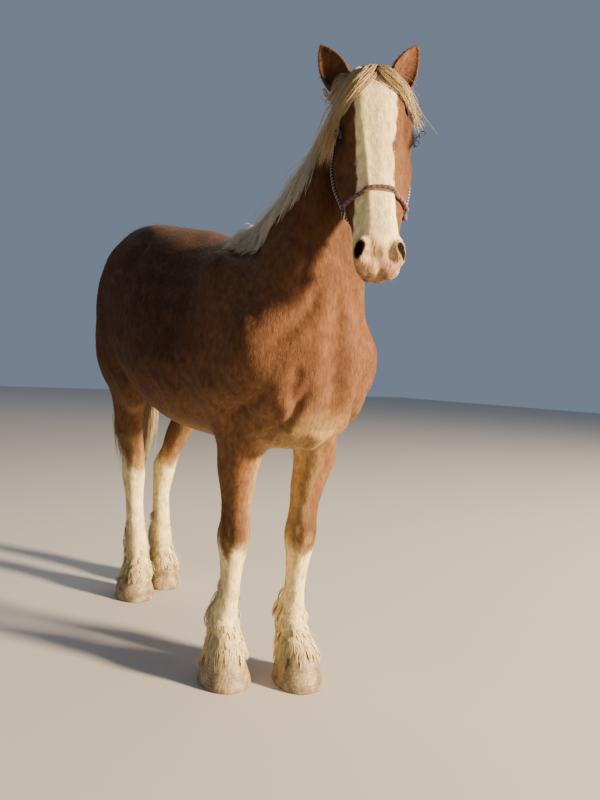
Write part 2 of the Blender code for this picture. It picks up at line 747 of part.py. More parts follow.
def dock_mesh(sides=12):
    rings = []
    rows = smooth_rows(DOCK_ROWS, 1)
    for i, (height, y, width, thick) in enumerate(rows):
        before, after = rows[max(0, i - 1)], rows[min(len(rows) - 1, i + 1)]
        run = Vector((0, after[1] - before[1], after[0] - before[0])).normalized()
        across = Vector((1, 0, 0))
        through = run.cross(across)
        ring = []
        for k in range(sides):
            a = 2 * math.pi * k / sides
            ring.append(Vector((0, y, height)) + across * width * math.cos(a) + through * thick * math.sin(a))
        rings.append(ring)
    return loft(rings, "dock")


def tube(points, radii, sides=8, closed=False):
    """A closed skin round a line of points."""
    rings = []
    count = len(points)
    side = None
    for i, point in enumerate(points):
        before = points[i - 1 if closed else max(0, i - 1)]
        after = points[(i + 1) % count if closed else min(count - 1, i + 1)]
        run = (after - before).normalized()
        if side is None:
            side = run.orthogonal()
        side = (side - side.project(run)).normalized()
        other = run.cross(side)
        rings.append([
            point + (side * math.cos(a) + other * math.sin(a)) * radii[i]
            for a in (2 * math.pi * k / sides for k in range(sides))
        ])
    return loft(rings, "rope")


def on_coat(tree, place, guide, radii):
    """Lays a line of points, given in the head frame, on the coat: each drops towards the head's core."""
    laid = []
    for point, radius in zip(guide, radii):
        core = place @ Vector((0, max(point.y, 0.03), HEAD_CORE))
        outside = place @ point
        inward = (core - outside).normalized()
        start = outside - inward * ABOVE
        hit, _, _, _ = tree.ray_cast(start, inward)
        laid.append(hit - inward * (radius + CLEAR) if hit else outside)
    return laid


def add_rope(name, guide, thick, tree, place, parts, steps=2, sides=5):
    """A rope of the halter, along a guide of points in the head frame; thick gives its radius at each."""
    rows = smooth_rows([(*point, radius) for point, radius in zip(guide, thick)], steps)
    radii = [row[3] for row in rows]
    laid = on_coat(tree, place, [Vector(row[:3]) for row in rows], radii)
    return object_of(name, tube(laid, radii, sides), parts)


def add_halter(head, neck, place, parts, cutters):
    """Noseband, chin rope, headstall over the poll, throat rope, a ring and a knot. It has no lead."""
    tree = tree_of([head.data])
    both = tree_of([head.data, neck.data])
    made = add_studs(tree, place, parts)
    low = HALTER_LOW
    nose = [(-0.110, low + 0.012, -0.085), (-0.10, low + 0.004, -0.045), (-0.06, low - 0.004, 0.03),
            (0.0, low - 0.008, 0.05), (0.06, low - 0.004, 0.03), (0.10, low + 0.004, -0.045),
            (0.110, low + 0.012, -0.085)]
    made.append(add_rope("halter_noseband", nose, [0.006, 0.007] + [NOSEBAND] * 3 + [0.007, 0.006],
                         tree, place, parts))
    chin = [(-0.110, low + 0.022, -0.115), (-0.09, low + 0.034, -0.19), (-0.03, low + 0.040, -0.225),
            (0.03, low + 0.040, -0.225), (0.09, low + 0.034, -0.19), (0.110, low + 0.022, -0.115)]
    made.append(add_rope("halter_chin", chin, [ROPE] * 6, tree, place, parts))
    stall = [(-x, y, n) for x, y, n in HEADSTALL_ROWS] + [row for row in HEADSTALL_ROWS[-2::-1]]
    made.append(add_rope("halter_headstall", stall, [ROPE + 0.0008] * len(stall), both, place, parts))
    throat = [(-0.135, 0.245, -0.205), (-0.115, 0.30, -0.265), (-0.04, 0.345, -0.29),
              (0.04, 0.345, -0.29), (0.115, 0.30, -0.265), (0.135, 0.245, -0.205)]
    made.append(add_rope("halter_throat", throat, [ROPE] * 6, tree, place, parts))
    return made


def ropes_clear(ropes, flesh, cutters):
    """Cuts each rope clear of the flesh it lies on, and of the ropes named before it."""
    for i, rope in enumerate(ropes):
        for before in flesh + ropes[:i]:
            cut(rope, grown(before, f"{rope.name}_seat", GAP, cutters), "DIFFERENCE")
        keep_largest(rope)


def add_studs(tree, place, parts):
    """The knot, or on the right the ring, where the noseband, chin rope and headstall meet."""
    made = []
    for name, side in (("halter_ring_right", RIGHT), ("halter_knot_left", LEFT)):
        guide = Vector((side * 0.16, HALTER_LOW + 0.018, -0.100))
        spot = on_coat(tree, place, [guide], [KNOT * 0.55])[0]
        made.append(object_of(name, ball_mesh(spot, [KNOT] * 3, segments=8), parts))
    return made


def on_crest(share):
    """A point of the neck's crest, from the withers at 0 to the poll at 1."""
    rows = smooth_rows([crest for crest, _, _ in NECK_ROWS], 6)
    place = share * (len(rows) - 1)
    low = min(int(place), len(rows) - 2)
    return Vector(rows[low]).lerp(Vector(rows[low + 1]), place - low)


def tree_of(meshes):
    shape = bmesh.new()
    for mesh in meshes:
        shape.from_mesh(mesh)
    tree = BVHTree.FromBMesh(shape)
    shape.free()
    return tree


def lock_mesh(points, faces, width, thick):
    """A flat, tapered lock over a line of points; faces gives the way its flat side looks at each."""
    rings = []
    stations = len(points) - 1
    for i in range(stations):
        place = i / (stations - 1) * (len(LOCK_SHAPE) - 1)
        low = min(int(place), len(LOCK_SHAPE) - 2)
        share = place - low
        wide, deep = (a + (b - a) * share for a, b in zip(LOCK_SHAPE[low], LOCK_SHAPE[low + 1]))
        run = (points[i + 1] - points[max(0, i - 1)]).normalized()
        across = run.cross(faces[i]).normalized()
        out = across.cross(run)
        x, z = across * width * wide / 2, out * thick * deep / 2
        rings.append([points[i] + x, points[i] + z, points[i] - x, points[i] - z])
    shape = bmesh.new()
    loops = [[shape.verts.new(point) for point in ring] for ring in rings]
    tip = shape.verts.new(points[-1])
    for first, second in zip(loops, loops[1:]):
        for k in range(4):
            n = (k + 1) % 4
            shape.faces.new((first[k], first[n], second[n], second[k]))
    for k in range(4):
        shape.faces.new((loops[-1][k], loops[-1][(k + 1) % 4], tip))
    shape.faces.new(loops[0])
    return mesh_of(shape, "lock")


def facing(tree, spot, reach):
    """The way the skin faces near a spot, evened out over a reach."""
    total = Vector()
    for offset in ((0, 0, 0), (reach, 0, 0), (-reach, 0, 0), (0, reach, 0), (0, -reach, 0), (0, 0, reach),
                   (0, 0, -reach)):
        total += tree.find_nearest(spot + Vector(offset))[1]
    return total.normalized()


def combed(trees, start, heading, length, stations, sink, lift, weight, drift=Vector(), cling=0.0):
    """A line that starts under the skin, rises out of it and is pulled over it by its weight.

    trees holds pairs of a skin and how much further than the lift the line keeps from it.
    The line is drawn back to the first skin by the share that cling gives.
    """
    step = length / stations
    nearest = trees[0][0].find_nearest(start)[0]
    out = facing(trees[0][0], start, step * 0.8)
    heading = (heading - heading.project(out)).normalized()
    points = [nearest - out * sink - heading * step * 0.3]
    faces = [out]
    spot = nearest + heading * step * 0.45
    for _ in range(stations):
        for tree, more in trees:
            nearest, out_here, _, away = tree.find_nearest(spot)
            height = (spot - nearest).dot(out_here)
            if away < 0.06 and height < lift + more:
                spot = nearest + out_here * (lift + more)
            elif more == 0 and len(points) > 1:
                spot = spot - out_here * (height - lift) * cling
            if away < 0.06:
                out = (out * 0.5 + facing(tree, spot, step * 0.8)).normalized()
        if len(points) > 2 and (spot - points[-1]).length < step * 0.5:
            break
        points.append(spot.copy())
        faces.append(out)
        if len(points) > 2:
            heading = (heading * 0.4 + (points[-1] - points[-2]).normalized() * 0.6).normalized()
        heading = (heading + Vector((0, 0, -weight)) + drift).normalized()
        spot = spot + heading * step
    return points, faces


def mane_locks(trees, dice):
    """Locks rooted along the crest, which part from it to the horse's right and hang down the neck."""
    for k in range(MANE_COUNT):
        along = 0.12 + 0.64 * (k + dice.uniform(0.4, 0.6)) / MANE_COUNT
        layer = k % len(MANE_LIFTS)
        start = on_crest(along) + Vector((MANE_ROOTS[layer], 0, 0))
        length = dice.uniform(*MANE_LENGTH)
        if along < 0.30:
            length *= 0.55 + 1.5 * along
        back = max(0.0, along - 0.55) * 3.2
        heading = Vector((-1, dice.uniform(-0.08, 0.08) + back, 0.05))
        drift = Vector((0, dice.uniform(-0.03, 0.04) + back * 0.2, 0))
        points, faces = combed(trees, start, heading, length, 5, 0.014, MANE_LIFTS[layer], 0.6, drift,
                               cling=0.85)
        width = MANE_LOCK[0] * dice.uniform(0.85, 1.15)
        if len(points) > 4:
            yield lock_mesh(points, faces, width, MANE_LOCK[1])


def forelock_locks(trees, place, dice):
    """Locks rooted between the ears: they part down the forehead, most of them to the horse's right."""
    turned = place.to_3x3()
    for k in range(FORELOCK_COUNT):
        share = (k + 0.5) / FORELOCK_COUNT
        side = RIGHT if share < 0.6 else LEFT
        spread = share / 0.6 if side == RIGHT else (1 - share) / 0.4
        spread = 1 - spread if side == RIGHT else spread
        layer = k % len(FORELOCK_LIFTS)
        root = FORELOCK_ROOTS[layer] + dice.uniform(-0.014, 0.014)
        start = place @ Vector((side * 0.034 * spread, root, 0.01))
        heading = turned @ Vector((side * (0.12 + 0.75 * spread), 0.75, 0.30))
        drift = turned @ Vector((side * dice.uniform(-0.10, 0.02), dice.uniform(0, 0.15), 0))
        length = dice.uniform(*FORELOCK_LENGTH)
        points, faces = combed(trees, start, heading, length, 6, 0.012, FORELOCK_LIFTS[layer], 0.35, drift,
                               cling=0.6)
        yield lock_mesh(points, faces, FORELOCK_LOCK[0] * dice.uniform(0.85, 1.15), FORELOCK_LOCK[1])


def feather_locks(trees, kind, side, dice):
    """Short locks at the back of the fetlock that hang over the heels."""
    for height, count, length, lift in FEATHER_ROWS:
        x, y = on_axis(kind, side, height)
        for k in range(count):
            turn = math.radians(-110 + 220 * (k + dice.uniform(0.4, 0.6)) / count)
            out = Vector((math.sin(turn), math.cos(turn), 0))
            start = Vector((x, y, height + dice.uniform(-0.010, 0.010))) + out * 0.06
            heading = out * 0.5 + Vector((0, 0.1, -1))
            drift = Vector((0, 0.06, 0)) + out * 0.1
            points, faces = combed(trees, start, heading, length * dice.uniform(0.85, 1.15), 4,
                                   0.010, lift, 0.6, drift)
            yield lock_mesh(points, faces, FEATHER_LOCK[0] * dice.uniform(0.9, 1.1), FEATHER_LOCK[1])


def tail_section(height):
    """The middle and the half sizes of the tail's hair at a height."""
    for (z1, *first), (z2, *second) in zip(TAIL_ROWS, TAIL_ROWS[1:]):
        if height >= z2:
            share = max(0.0, min(1.0, (z1 - height) / (z1 - z2)))
            return [a + (b - a) * share for a, b in zip(first, second)]
    return TAIL_ROWS[-1][1:]


def tail_locks(dice):
    """Locks rooted round the dock, in tiers, that fall inside the outline of the tail and wander in it."""
    for tier, (root, count, length, depth) in enumerate(TAIL_TIERS):
        for k in range(count):
            turn = 2 * math.pi * (k + 0.5 * (tier % 2) + dice.uniform(-0.12, 0.12)) / count
            wander = dice.uniform(-0.35, 0.35)
            long = length * dice.uniform(0.84, 1.06)
            points, faces = [], []
            for i in range(7):
                share = i / 6
                height = root - long * share
                y, width, deep = tail_section(height)
                angle = turn + wander * share
                reach = min(1.0, 0.22 + 1.8 * share) * depth
                out = Vector((math.cos(angle) * width, math.sin(angle) * deep, 0))
                points.append(Vector((0, y, height)) + out * reach)
                faces.append(Vector((math.cos(angle) / width, math.sin(angle) / deep, 0)).normalized())
            yield lock_mesh(points, faces, TAIL_LOCK[0] * dice.uniform(0.85, 1.15), TAIL_LOCK[1])


def grow(node, locks, near, cutters):
    """Joins locks to the node they grow from, in one union. Those that touch a neighbour are cut clear of it."""
    group = collection(f"{node.name}_locks")
    skins = [(grown(other, f"{node.name}_clear_of_{other.name}", 2 * GAP, cutters)) for other in near]
    trees = [tree_of([skin.data]) for skin in skins]
    for i, mesh in enumerate(locks):
        lock = hidden(object_of(f"{node.name}_lock_{i}", mesh, group))
        for skin, tree in zip(skins, trees):
            if tree_of([lock.data]).overlap(tree):
                cut(lock, skin, "DIFFERENCE")
        if not lock.data.polygons:
            bpy.data.objects.remove(lock)
    change = node.modifiers.new("locks", "BOOLEAN")
    change.operand_type = "COLLECTION"
    change.collection = group
    change.operation = "UNION"
    change.solver = "MANIFOLD"
    applied(node)
    for lock in list(group.objects):
        bpy.data.objects.remove(lock)
    bpy.data.collections.remove(group)
    return keep_largest(node)


def main():
    clear_scene()
    parts = collection("belgian_draft_horse")
    cutters = collection("cutters")
    place = head_matrix()
    coat = material("sorrel_coat", (0.30, 0.13, 0.06), 0.75)
    flaxen = material("flaxen_hair", (0.62, 0.50, 0.34), 0.7)
    horn = material("hoof_horn", (0.45, 0.36, 0.25), 0.6)
    eye_dark = material("eye_dark", (0.015, 0.01, 0.008), 0.15)
    cord = material("halter_rope", (0.22, 0.06, 0.12), 0.8)

    dice = random.Random(26)
    head = joined("head", [head_mesh(), *mirrored_balls(HEAD_MUSCLES)], parts, place)
    melted(head, HEAD_VOXEL, 4, 0.078)
    eyes = {
        side: add_eye(name, side, place, head, parts, cutters)
        for name, side in (("eye_left", LEFT), ("eye_right", RIGHT))
    }
    open_nostrils_and_mouth(head, place, cutters)
    ears = {
        side: add_ear(name, side, place, head, parts, cutters)
        for name, side in (("ear_left", LEFT), ("ear_right", RIGHT))
    }

    forms = [torso_mesh(), neck_mesh(), *mirrored_balls(BODY_MUSCLES)]
    for kind in ("fore", "hind"):
        for side in (LEFT, RIGHT):
            forms.append(leg_mesh(kind, side))
    forms += [hock_mesh(side) for side in (LEFT, RIGHT)]
    body = joined("torso", forms, parts)
    melted(body, BODY_VOXEL, 2, 0.085, firm_below=0.85)

    for kind, height, y in (("fore", FORELEG_CUT, 0.0), ("hind", HINDLEG_CUT, 1.20)):
        for word, side in (("left", LEFT), ("right", RIGHT)):
            name = f"{kind}leg_{word}"
            point = (side * 0.36, y, height)
            leg = split(body, name, point, (0, 0, -1), (0.70, 0.8, 1.3), parts, cutters)
            hoof = part_hoof(leg, f"{kind}_hoof_{word}", kind, side, parts, cutters)
            hoof.data.materials.append(horn)
            trees = [(tree_of([leg.data]), 0.0), (tree_of([hoof.data]), 0.004)]
            grow(leg, feather_locks(trees, kind, side, dice), [hoof], cutters)
            leg.data.materials.append(coat)
    slope = (BREAST_CUT - WITHERS_CUT).normalized()
    up_front = Vector((0, slope.z, -slope.y))
    neck = split(body, "neck", (WITHERS_CUT + BREAST_CUT) / 2, up_front, (1.4, 1.8, 1.6), parts, cutters)
    for near in (head, *ears.values()):
        cut(neck, grown(near, f"neck_clear_of_{near.name}", GAP, cutters), "DIFFERENCE")
    keep_largest(neck)
    keep_largest(body)

    halter = add_halter(head, neck, place, parts, cutters)
    ropes_clear(halter, [head, neck, *ears.values()], cutters)

    near = [head, *ears.values(), *halter]
    trees = [(tree_of([neck.data, body.data]), 0.0), (tree_of([other.data for other in near]), 0.004)]
    grow(neck, mane_locks(trees, dice), [body, *near], cutters)

    near = [neck, *ears.values(), *eyes.values(), *halter]
    trees = [(tree_of([head.data]), 0.0), (tree_of([other.data for other in near]), 0.004)]
    grow(head, forelock_locks(trees, place, dice), near, cutters)

    tail = object_of("tail", dock_mesh(), parts)
    cut(tail, grown(body, "tail_seat", 3 * GAP, cutters), "DIFFERENCE")
    grow(keep_largest(tail), tail_locks(dice), [body], cutters)
    tail.data.materials.append(flaxen)

    for obj in (body, neck, head, *ears.values()):
        obj.data.materials.append(coat)
    for eye in eyes.values():
        eye.data.materials.append(eye_dark)
    for obj in halter:
        obj.data.materials.append(cord)
    for obj in list(parts.objects) + list(cutters.objects):
        obj.data.transform(Matrix.Translation((SIDE_SHIFT, LENGTH_SHIFT, 0)))


main()
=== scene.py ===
"""Looks of a Belgian draft horse: skin, coat, mane, tail, feather, eyes, hooves and rope halter."""
import bpy
import bmesh
import math
import numpy as np
from mathutils import Matrix, Vector
from mathutils.bvhtree import BVHTree


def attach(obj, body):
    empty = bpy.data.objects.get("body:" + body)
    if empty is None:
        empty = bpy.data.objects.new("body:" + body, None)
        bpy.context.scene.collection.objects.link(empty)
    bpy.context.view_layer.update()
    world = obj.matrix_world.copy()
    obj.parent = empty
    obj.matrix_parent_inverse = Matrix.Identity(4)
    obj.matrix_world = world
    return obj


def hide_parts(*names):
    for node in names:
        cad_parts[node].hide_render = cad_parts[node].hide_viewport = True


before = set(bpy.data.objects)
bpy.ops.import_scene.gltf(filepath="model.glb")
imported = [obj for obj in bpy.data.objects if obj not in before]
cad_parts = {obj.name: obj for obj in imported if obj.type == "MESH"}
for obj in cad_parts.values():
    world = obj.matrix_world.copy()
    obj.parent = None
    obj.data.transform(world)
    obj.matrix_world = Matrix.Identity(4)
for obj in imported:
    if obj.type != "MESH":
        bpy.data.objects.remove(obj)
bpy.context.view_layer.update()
LEFT, RIGHT = 1, -1
WORD = {LEFT: "left", RIGHT: "right"}
SHIFT = Vector((0, -0.42, 0))    # from the horse's own frame to the row frame
chance = np.random.default_rng(31)

# Torso rows: y, top, bottom, half width, height of the widest point, roundness of the upper half
TORSO_ROWS = (
    (-0.385, 1.3, 1.1, 0.1, 1.2, 2.0), (-0.33, 1.44, 1.0, 0.2, 1.22, 2.0),
    (-0.22, 1.57, 0.925, 0.275, 1.24, 2.0), (-0.05, 1.68, 0.905, 0.305, 1.24, 1.8),
    (0.13, 1.735, 0.905, 0.33, 1.24, 1.5), (0.32, 1.728, 0.91, 0.36, 1.25, 1.7),
    (0.52, 1.795, 0.925, 0.375, 1.28, 2.1), (0.7, 1.835, 0.975, 0.372, 1.34, 2.4),
    (0.88, 1.87, 1.06, 0.365, 1.42, 2.7), (1.05, 1.86, 1.12, 0.36, 1.44, 2.7),
    (1.2, 1.79, 1.17, 0.315, 1.44, 2.5), (1.31, 1.675, 1.2, 0.23, 1.43, 2.2),
    (1.385, 1.54, 1.25, 0.11, 1.4, 2.0),
)
# Neck rows: crest point, underside point, half width
NECK_ROWS = (
    (0.0, 0.2, 1.68, 0.0, -0.26, 1.06, 0.23), (0.005, 0.12, 1.715, 0.0, -0.365, 1.18, 0.21),
    (0.012, 0.02, 1.775, 0.01, -0.385, 1.32, 0.18), (0.022, -0.09, 1.852, 0.025, -0.37, 1.47, 0.15),
    (0.033, -0.2, 1.952, 0.05, -0.34, 1.6, 0.126), (0.042, -0.29, 2.062, 0.08, -0.305, 1.72, 0.11),
    (0.045, -0.35, 2.132, 0.11, -0.28, 1.82, 0.098), (0.045, -0.395, 2.16, 0.115, -0.3, 1.92, 0.078),
)
# Leg rows: height, half width, half length
LEG_ROWS = {
    "fore": (
        (1.14, 0.115, 0.18), (1.04, 0.108, 0.155), (0.96, 0.096, 0.125), (0.9, 0.086, 0.102),
        (0.83, 0.074, 0.088), (0.75, 0.063, 0.074), (0.68, 0.056, 0.064), (0.63, 0.056, 0.064),
        (0.575, 0.063, 0.073), (0.525, 0.058, 0.066), (0.47, 0.047, 0.055), (0.38, 0.04, 0.048),
        (0.31, 0.044, 0.054), (0.245, 0.06, 0.072), (0.195, 0.055, 0.064), (0.15, 0.066, 0.076),
        (0.105, 0.076, 0.086), (0.06, 0.068, 0.076),
    ),
    "hind": (
        (1.3, 0.15, 0.25), (1.22, 0.135, 0.23), (1.12, 0.112, 0.19), (1.04, 0.09, 0.145),
        (0.96, 0.072, 0.11), (0.85, 0.065, 0.098), (0.75, 0.054, 0.084), (0.66, 0.058, 0.088),
        (0.6, 0.055, 0.076), (0.53, 0.049, 0.06), (0.45, 0.046, 0.055), (0.34, 0.05, 0.059),
        (0.255, 0.06, 0.074), (0.195, 0.055, 0.066), (0.15, 0.066, 0.078), (0.105, 0.076, 0.086),
        (0.06, 0.068, 0.076),
    ),
}
# Axis of each leg: height, x, y
LEG_AXES = {
    ("fore", RIGHT): (
        (1.14, -0.2, -0.035), (1.04, -0.165, -0.025), (0.92, -0.125, -0.005), (0.83, -0.128, 0.015),
        (0.75, -0.121, 0.03), (0.64, -0.111, 0.042), (0.575, -0.112, 0.048), (0.34, -0.104, 0.08),
        (0.245, -0.112, 0.12), (0.19, -0.108, 0.098), (0.14, -0.11, 0.084), (0.06, -0.112, 0.075),
    ),
    ("fore", LEFT): (
        (1.14, 0.195, -0.035), (1.04, 0.196, -0.035), (0.92, 0.19, -0.035), (0.83, 0.18, -0.032),
        (0.75, 0.158, -0.03), (0.64, 0.143, -0.03), (0.575, 0.139, -0.03), (0.34, 0.138, -0.005),
        (0.245, 0.138, 0.02), (0.19, 0.137, -0.005), (0.14, 0.136, -0.035), (0.06, 0.135, -0.06),
    ),
    ("hind", RIGHT): (
        (1.3, -0.175, 1.07), (1.12, -0.172, 1.07), (1.04, -0.168, 1.08), (0.96, -0.167, 1.09),
        (0.85, -0.155, 1.115), (0.75, -0.116, 1.15), (0.66, -0.106, 1.168), (0.45, -0.101, 1.14),
        (0.34, -0.092, 1.135), (0.255, -0.083, 1.142), (0.19, -0.084, 1.122), (0.14, -0.087, 1.105),
        (0.06, -0.096, 1.09),
    ),
    ("hind", LEFT): (
        (1.3, 0.175, 1.07), (1.12, 0.175, 1.07), (1.04, 0.173, 1.085), (0.96, 0.168, 1.105),
        (0.85, 0.143, 1.16), (0.75, 0.122, 1.21), (0.66, 0.108, 1.262), (0.49, 0.092, 1.264),
        (0.34, 0.098, 1.262), (0.255, 0.102, 1.27), (0.19, 0.099, 1.243), (0.14, 0.098, 1.22),
        (0.06, 0.097, 1.2),
    ),
}
# The point of each hock: height, distance back of the leg's axis, half width
HOCK_ROWS = (
    (0.88, 0.07, 0.03), (0.8, 0.07, 0.021), (0.735, 0.074, 0.024), (0.685, 0.072, 0.027),
    (0.62, 0.045, 0.03),
)
# Middle of each sole: x, y, degrees the toe turns out
HOOVES = {
    ("fore", RIGHT): (-0.112, 0.072, 6), ("fore", LEFT): (0.134, -0.066, 6),
    ("hind", RIGHT): (-0.098, 1.09, 8), ("hind", LEFT): (0.098, 1.195, 8),
}
HOOF_HEIGHT, HOOF_HALF_WIDTH, HOOF_HALF_LENGTH = 0.098, 0.096, 0.11
CORONET_SHARE, CORONET_SLOPE, HOOF_SET_BACK = 0.8, math.radians(16), 0.026

# Head frame: origin at the poll, first axis to the horse's left, second down the face, third out of it
POLL = Vector((0.037, -0.462, 2.175))
HEAD_YAW, HEAD_TILT, HEAD_ROLL = math.radians(30), math.radians(18), math.radians(0.8)
# Head rows: down the face, face line, jaw line, half widths of face, cheek and jaw, line of the cheek
HEAD_ROWS = (
    (-0.04, -0.085, -0.19, 0.026, 0.068, 0.045, -0.135), (0.015, -0.022, -0.24, 0.045, 0.094, 0.062, -0.12),
    (0.085, 0.002, -0.268, 0.064, 0.108, 0.074, -0.1), (0.16, 0.011, -0.286, 0.074, 0.114, 0.082, -0.08),
    (0.235, 0.009, -0.292, 0.071, 0.118, 0.085, -0.085), (0.305, 0.003, -0.278, 0.06, 0.123, 0.08, -0.105),
    (0.375, -0.004, -0.245, 0.05, 0.115, 0.064, -0.108), (0.445, -0.009, -0.208, 0.044, 0.098, 0.05, -0.096),
    (0.51, -0.013, -0.18, 0.04, 0.081, 0.044, -0.088), (0.57, -0.018, -0.16, 0.04, 0.071, 0.044, -0.086),
    (0.63, -0.027, -0.152, 0.044, 0.074, 0.047, -0.085), (0.675, -0.045, -0.146, 0.04, 0.066, 0.044, -0.09),
    (0.698, -0.076, -0.13, 0.024, 0.044, 0.03, -0.1),
)
# Eye, nostril, mouth and ear of the left side, in the head's frame
EYE, EYE_FACING = Vector((0.0975, 0.243, -0.06)), Vector((0.86, 0.1, 0.5))
EYE_RADIUS, LID_THICKNESS = 0.0225, 0.005
LID_OPENING = (0.015, 0.0222, 0.015)
NOSTRIL, NOSTRIL_RADII = Vector((0.057, 0.643, -0.042)), np.array((0.0152, 0.0265, 0.038))
MOUTH_DEPTH, MOUTH_CORNER = -0.122, 0.622
EAR_BASE = Vector((0.076, 0.026, -0.134))
EAR_TIPS = {LEFT: Vector((0.172, -0.198, -0.125)), RIGHT: Vector((0.164, -0.166, -0.125))}
EAR_FACING = Vector((0.42, 0.1, 1.0))
# Rows of the ear, then of its hollow: share of its length, half width, half depth, shift towards the back
EAR_ROWS = (
    (0.0, 0.03, 0.03, 0.0), (0.16, 0.04, 0.034, 0.002), (0.34, 0.047, 0.031, 0.004),
    (0.54, 0.046, 0.025, 0.004), (0.74, 0.035, 0.017, 0.003), (0.89, 0.019, 0.009, 0.001),
    (1.0, 0.003, 0.003, 0.0),
)
EAR_CUP_ROWS = (
    (0.16, 0.01, 0.01, -0.018), (0.26, 0.033, 0.028, -0.017), (0.4, 0.042, 0.029, -0.016),
    (0.56, 0.0415, 0.024, -0.014), (0.74, 0.031, 0.0155, -0.0105), (0.87, 0.016, 0.0088, -0.006),
    (0.94, 0.005, 0.005, -0.005),
)
# Muscles rounded into the trunk: centre, radii, forward lean in degrees. All are mirrored.
BODY_MUSCLES = (
    ((0.19, 0.0, 1.4), (0.095, 0.13, 0.28), -36), ((0.215, 0.075, 1.15), (0.09, 0.16, 0.14), -20),
    ((0.19, -0.19, 1.24), (0.12, 0.13, 0.17), 10), ((0.102, -0.255, 1.12), (0.108, 0.105, 0.165), 0),
    ((0.14, 0.9, 1.69), (0.15, 0.36, 0.175), 4), ((0.195, 1.08, 1.36), (0.15, 0.25, 0.32), 12),
    ((0.195, 0.94, 1.1), (0.08, 0.11, 0.13), 0), ((0.12, 1.26, 1.34), (0.12, 0.15, 0.3), -4),
)
HEAD_MUSCLES = (
    ((0.072, 0.205, -0.185), (0.042, 0.115, 0.09), 0), ((0.083, 0.218, -0.058), (0.035, 0.07, 0.044), 0),
    ((0.084, 0.33, -0.106), (0.024, 0.1, 0.015), 4), ((0.052, 0.636, -0.06), (0.026, 0.058, 0.036), 0),
    ((0.024, 0.68, -0.08), (0.044, 0.034, 0.04), 0), ((0.014, 0.668, -0.14), (0.032, 0.032, 0.018), 0),
    ((0.01, 0.625, -0.155), (0.032, 0.032, 0.018), 0), ((0.02, -0.026, -0.13), (0.052, 0.036, 0.068), 0),
)
# Dock rows: height, distance back, half width, half thickness
DOCK_ROWS = (
    (1.6, 1.315, 0.03, 0.03), (1.585, 1.36, 0.036, 0.032), (1.52, 1.405, 0.036, 0.03),
    (1.42, 1.425, 0.03, 0.026), (1.32, 1.43, 0.022, 0.02), (1.25, 1.432, 0.01, 0.01),
)
# Clumps of long hair: the mane's in each of its two layers, the feather's on each leg
CLUMPS = {"mane": 300, "forelock": 200, "tail": 230, "feather": 190}
# Hair of the tail: height and distance back of its middle, half width, half depth
TAIL_ROWS = (
    (1.6, 1.33, 0.036, 0.034), (1.52, 1.405, 0.056, 0.044), (1.4, 1.432, 0.078, 0.05),
    (1.2, 1.442, 0.105, 0.054), (1.0, 1.448, 0.125, 0.056), (0.82, 1.452, 0.135, 0.054),
    (0.68, 1.455, 0.135, 0.048), (0.6, 1.458, 0.12, 0.04),
)
TAIL_END = 0.575    # height of the longest tips
# How far down the face the noseband and the cheek knots lie, the rope's radius, the hair's depth under it
HALTER_LOW, CHEEK_KNOT_LOW, ROPE, COAT_DEPTH = 0.462, 0.262, 0.0048, 0.0028
# Half of each rope of the halter, from the cheek to the middle, in the head's frame: name, CAD node, radius,
# height of its middle over the hair, length of one turn of its braid, plies, guide points
HALTER_ROPES = (
    ("noseband", "halter_noseband", 0.0068, 0.0062, 0.016, 4, (
        (0.11, HALTER_LOW + 0.012, -0.085), (0.1, HALTER_LOW + 0.004, -0.045),
        (0.06, HALTER_LOW - 0.004, 0.03), (0.0, HALTER_LOW - 0.008, 0.05))),
    ("chin_rope", "halter_chin", ROPE, ROPE, 0.013, 3, (
        (0.11, HALTER_LOW + 0.022, -0.115), (0.09, HALTER_LOW + 0.034, -0.19),
        (0.03, HALTER_LOW + 0.04, -0.225))),
    ("headstall", "halter_headstall", ROPE, ROPE, 0.013, 3, (
        (0.115, 0.455, -0.12), (0.125, 0.4, -0.135), (0.135, 0.32, -0.15), (0.135, 0.24, -0.16),
        (0.13, 0.16, -0.165), (0.128, 0.09, -0.18), (0.12, 0.03, -0.19), (0.095, -0.035, -0.18),
        (0.055, -0.08, -0.16), (0.0, -0.095, -0.15))),
    ("throat_rope", "halter_throat", ROPE, ROPE, 0.013, 3, (
        (0.135, 0.245, -0.205), (0.115, 0.3, -0.265), (0.04, 0.345, -0.29))),
)


# Small helpers

def linear(hex_colour):
    """An sRGB hex colour as linear numbers."""
    parts = [int(hex_colour[i:i + 2], 16) / 255 for i in (1, 3, 5)]
    return [c / 12.92 if c <= 0.04045 else ((c + 0.055) / 1.055) ** 2.4 for c in parts]


def rgb(hex_colour):
    return np.array(linear(hex_colour))


def smooth_rows(rows, steps):
    """Rows of numbers with more rows between them, on a Catmull-Rom curve."""
    rows = np.array(rows, float)
    made = []
    for i in range(len(rows) - 1):
        a, b, c, d = (rows[max(0, min(len(rows) - 1, i + k))] for k in (-1, 0, 1, 2))
        for t in np.arange(steps) / steps:
            made.append(b + 0.5 * t * (c - a + t * (2 * a - 5 * b + 4 * c - d + t * (3 * (b - c) + d - a))))
    made.append(rows[-1])
    return made


def steps_between(value, low, high):
    """0 below low, 1 above high, and a soft step between them."""
    t = np.clip((value - low) / (high - low), 0, 1)
    return t * t * (3 - 2 * t)


def past(value, width):
    """0 below 0, 1 above width, and a soft step between them."""
    return steps_between(value, 0.0, width)


def ridge(value, middle, width):
    """1 at the middle, fading to 0 about two widths from it."""
    return np.exp(-((value - middle) / width) ** 2)


def turns_of(count):
    """Angles of even steps round a circle."""
    return [2 * math.pi * k / count for k in range(count)]


def unit(rows):
    """Rows of numbers, each at length 1."""
    return rows / np.maximum(np.linalg.norm(rows, axis=-1), 1e-9)[..., None]


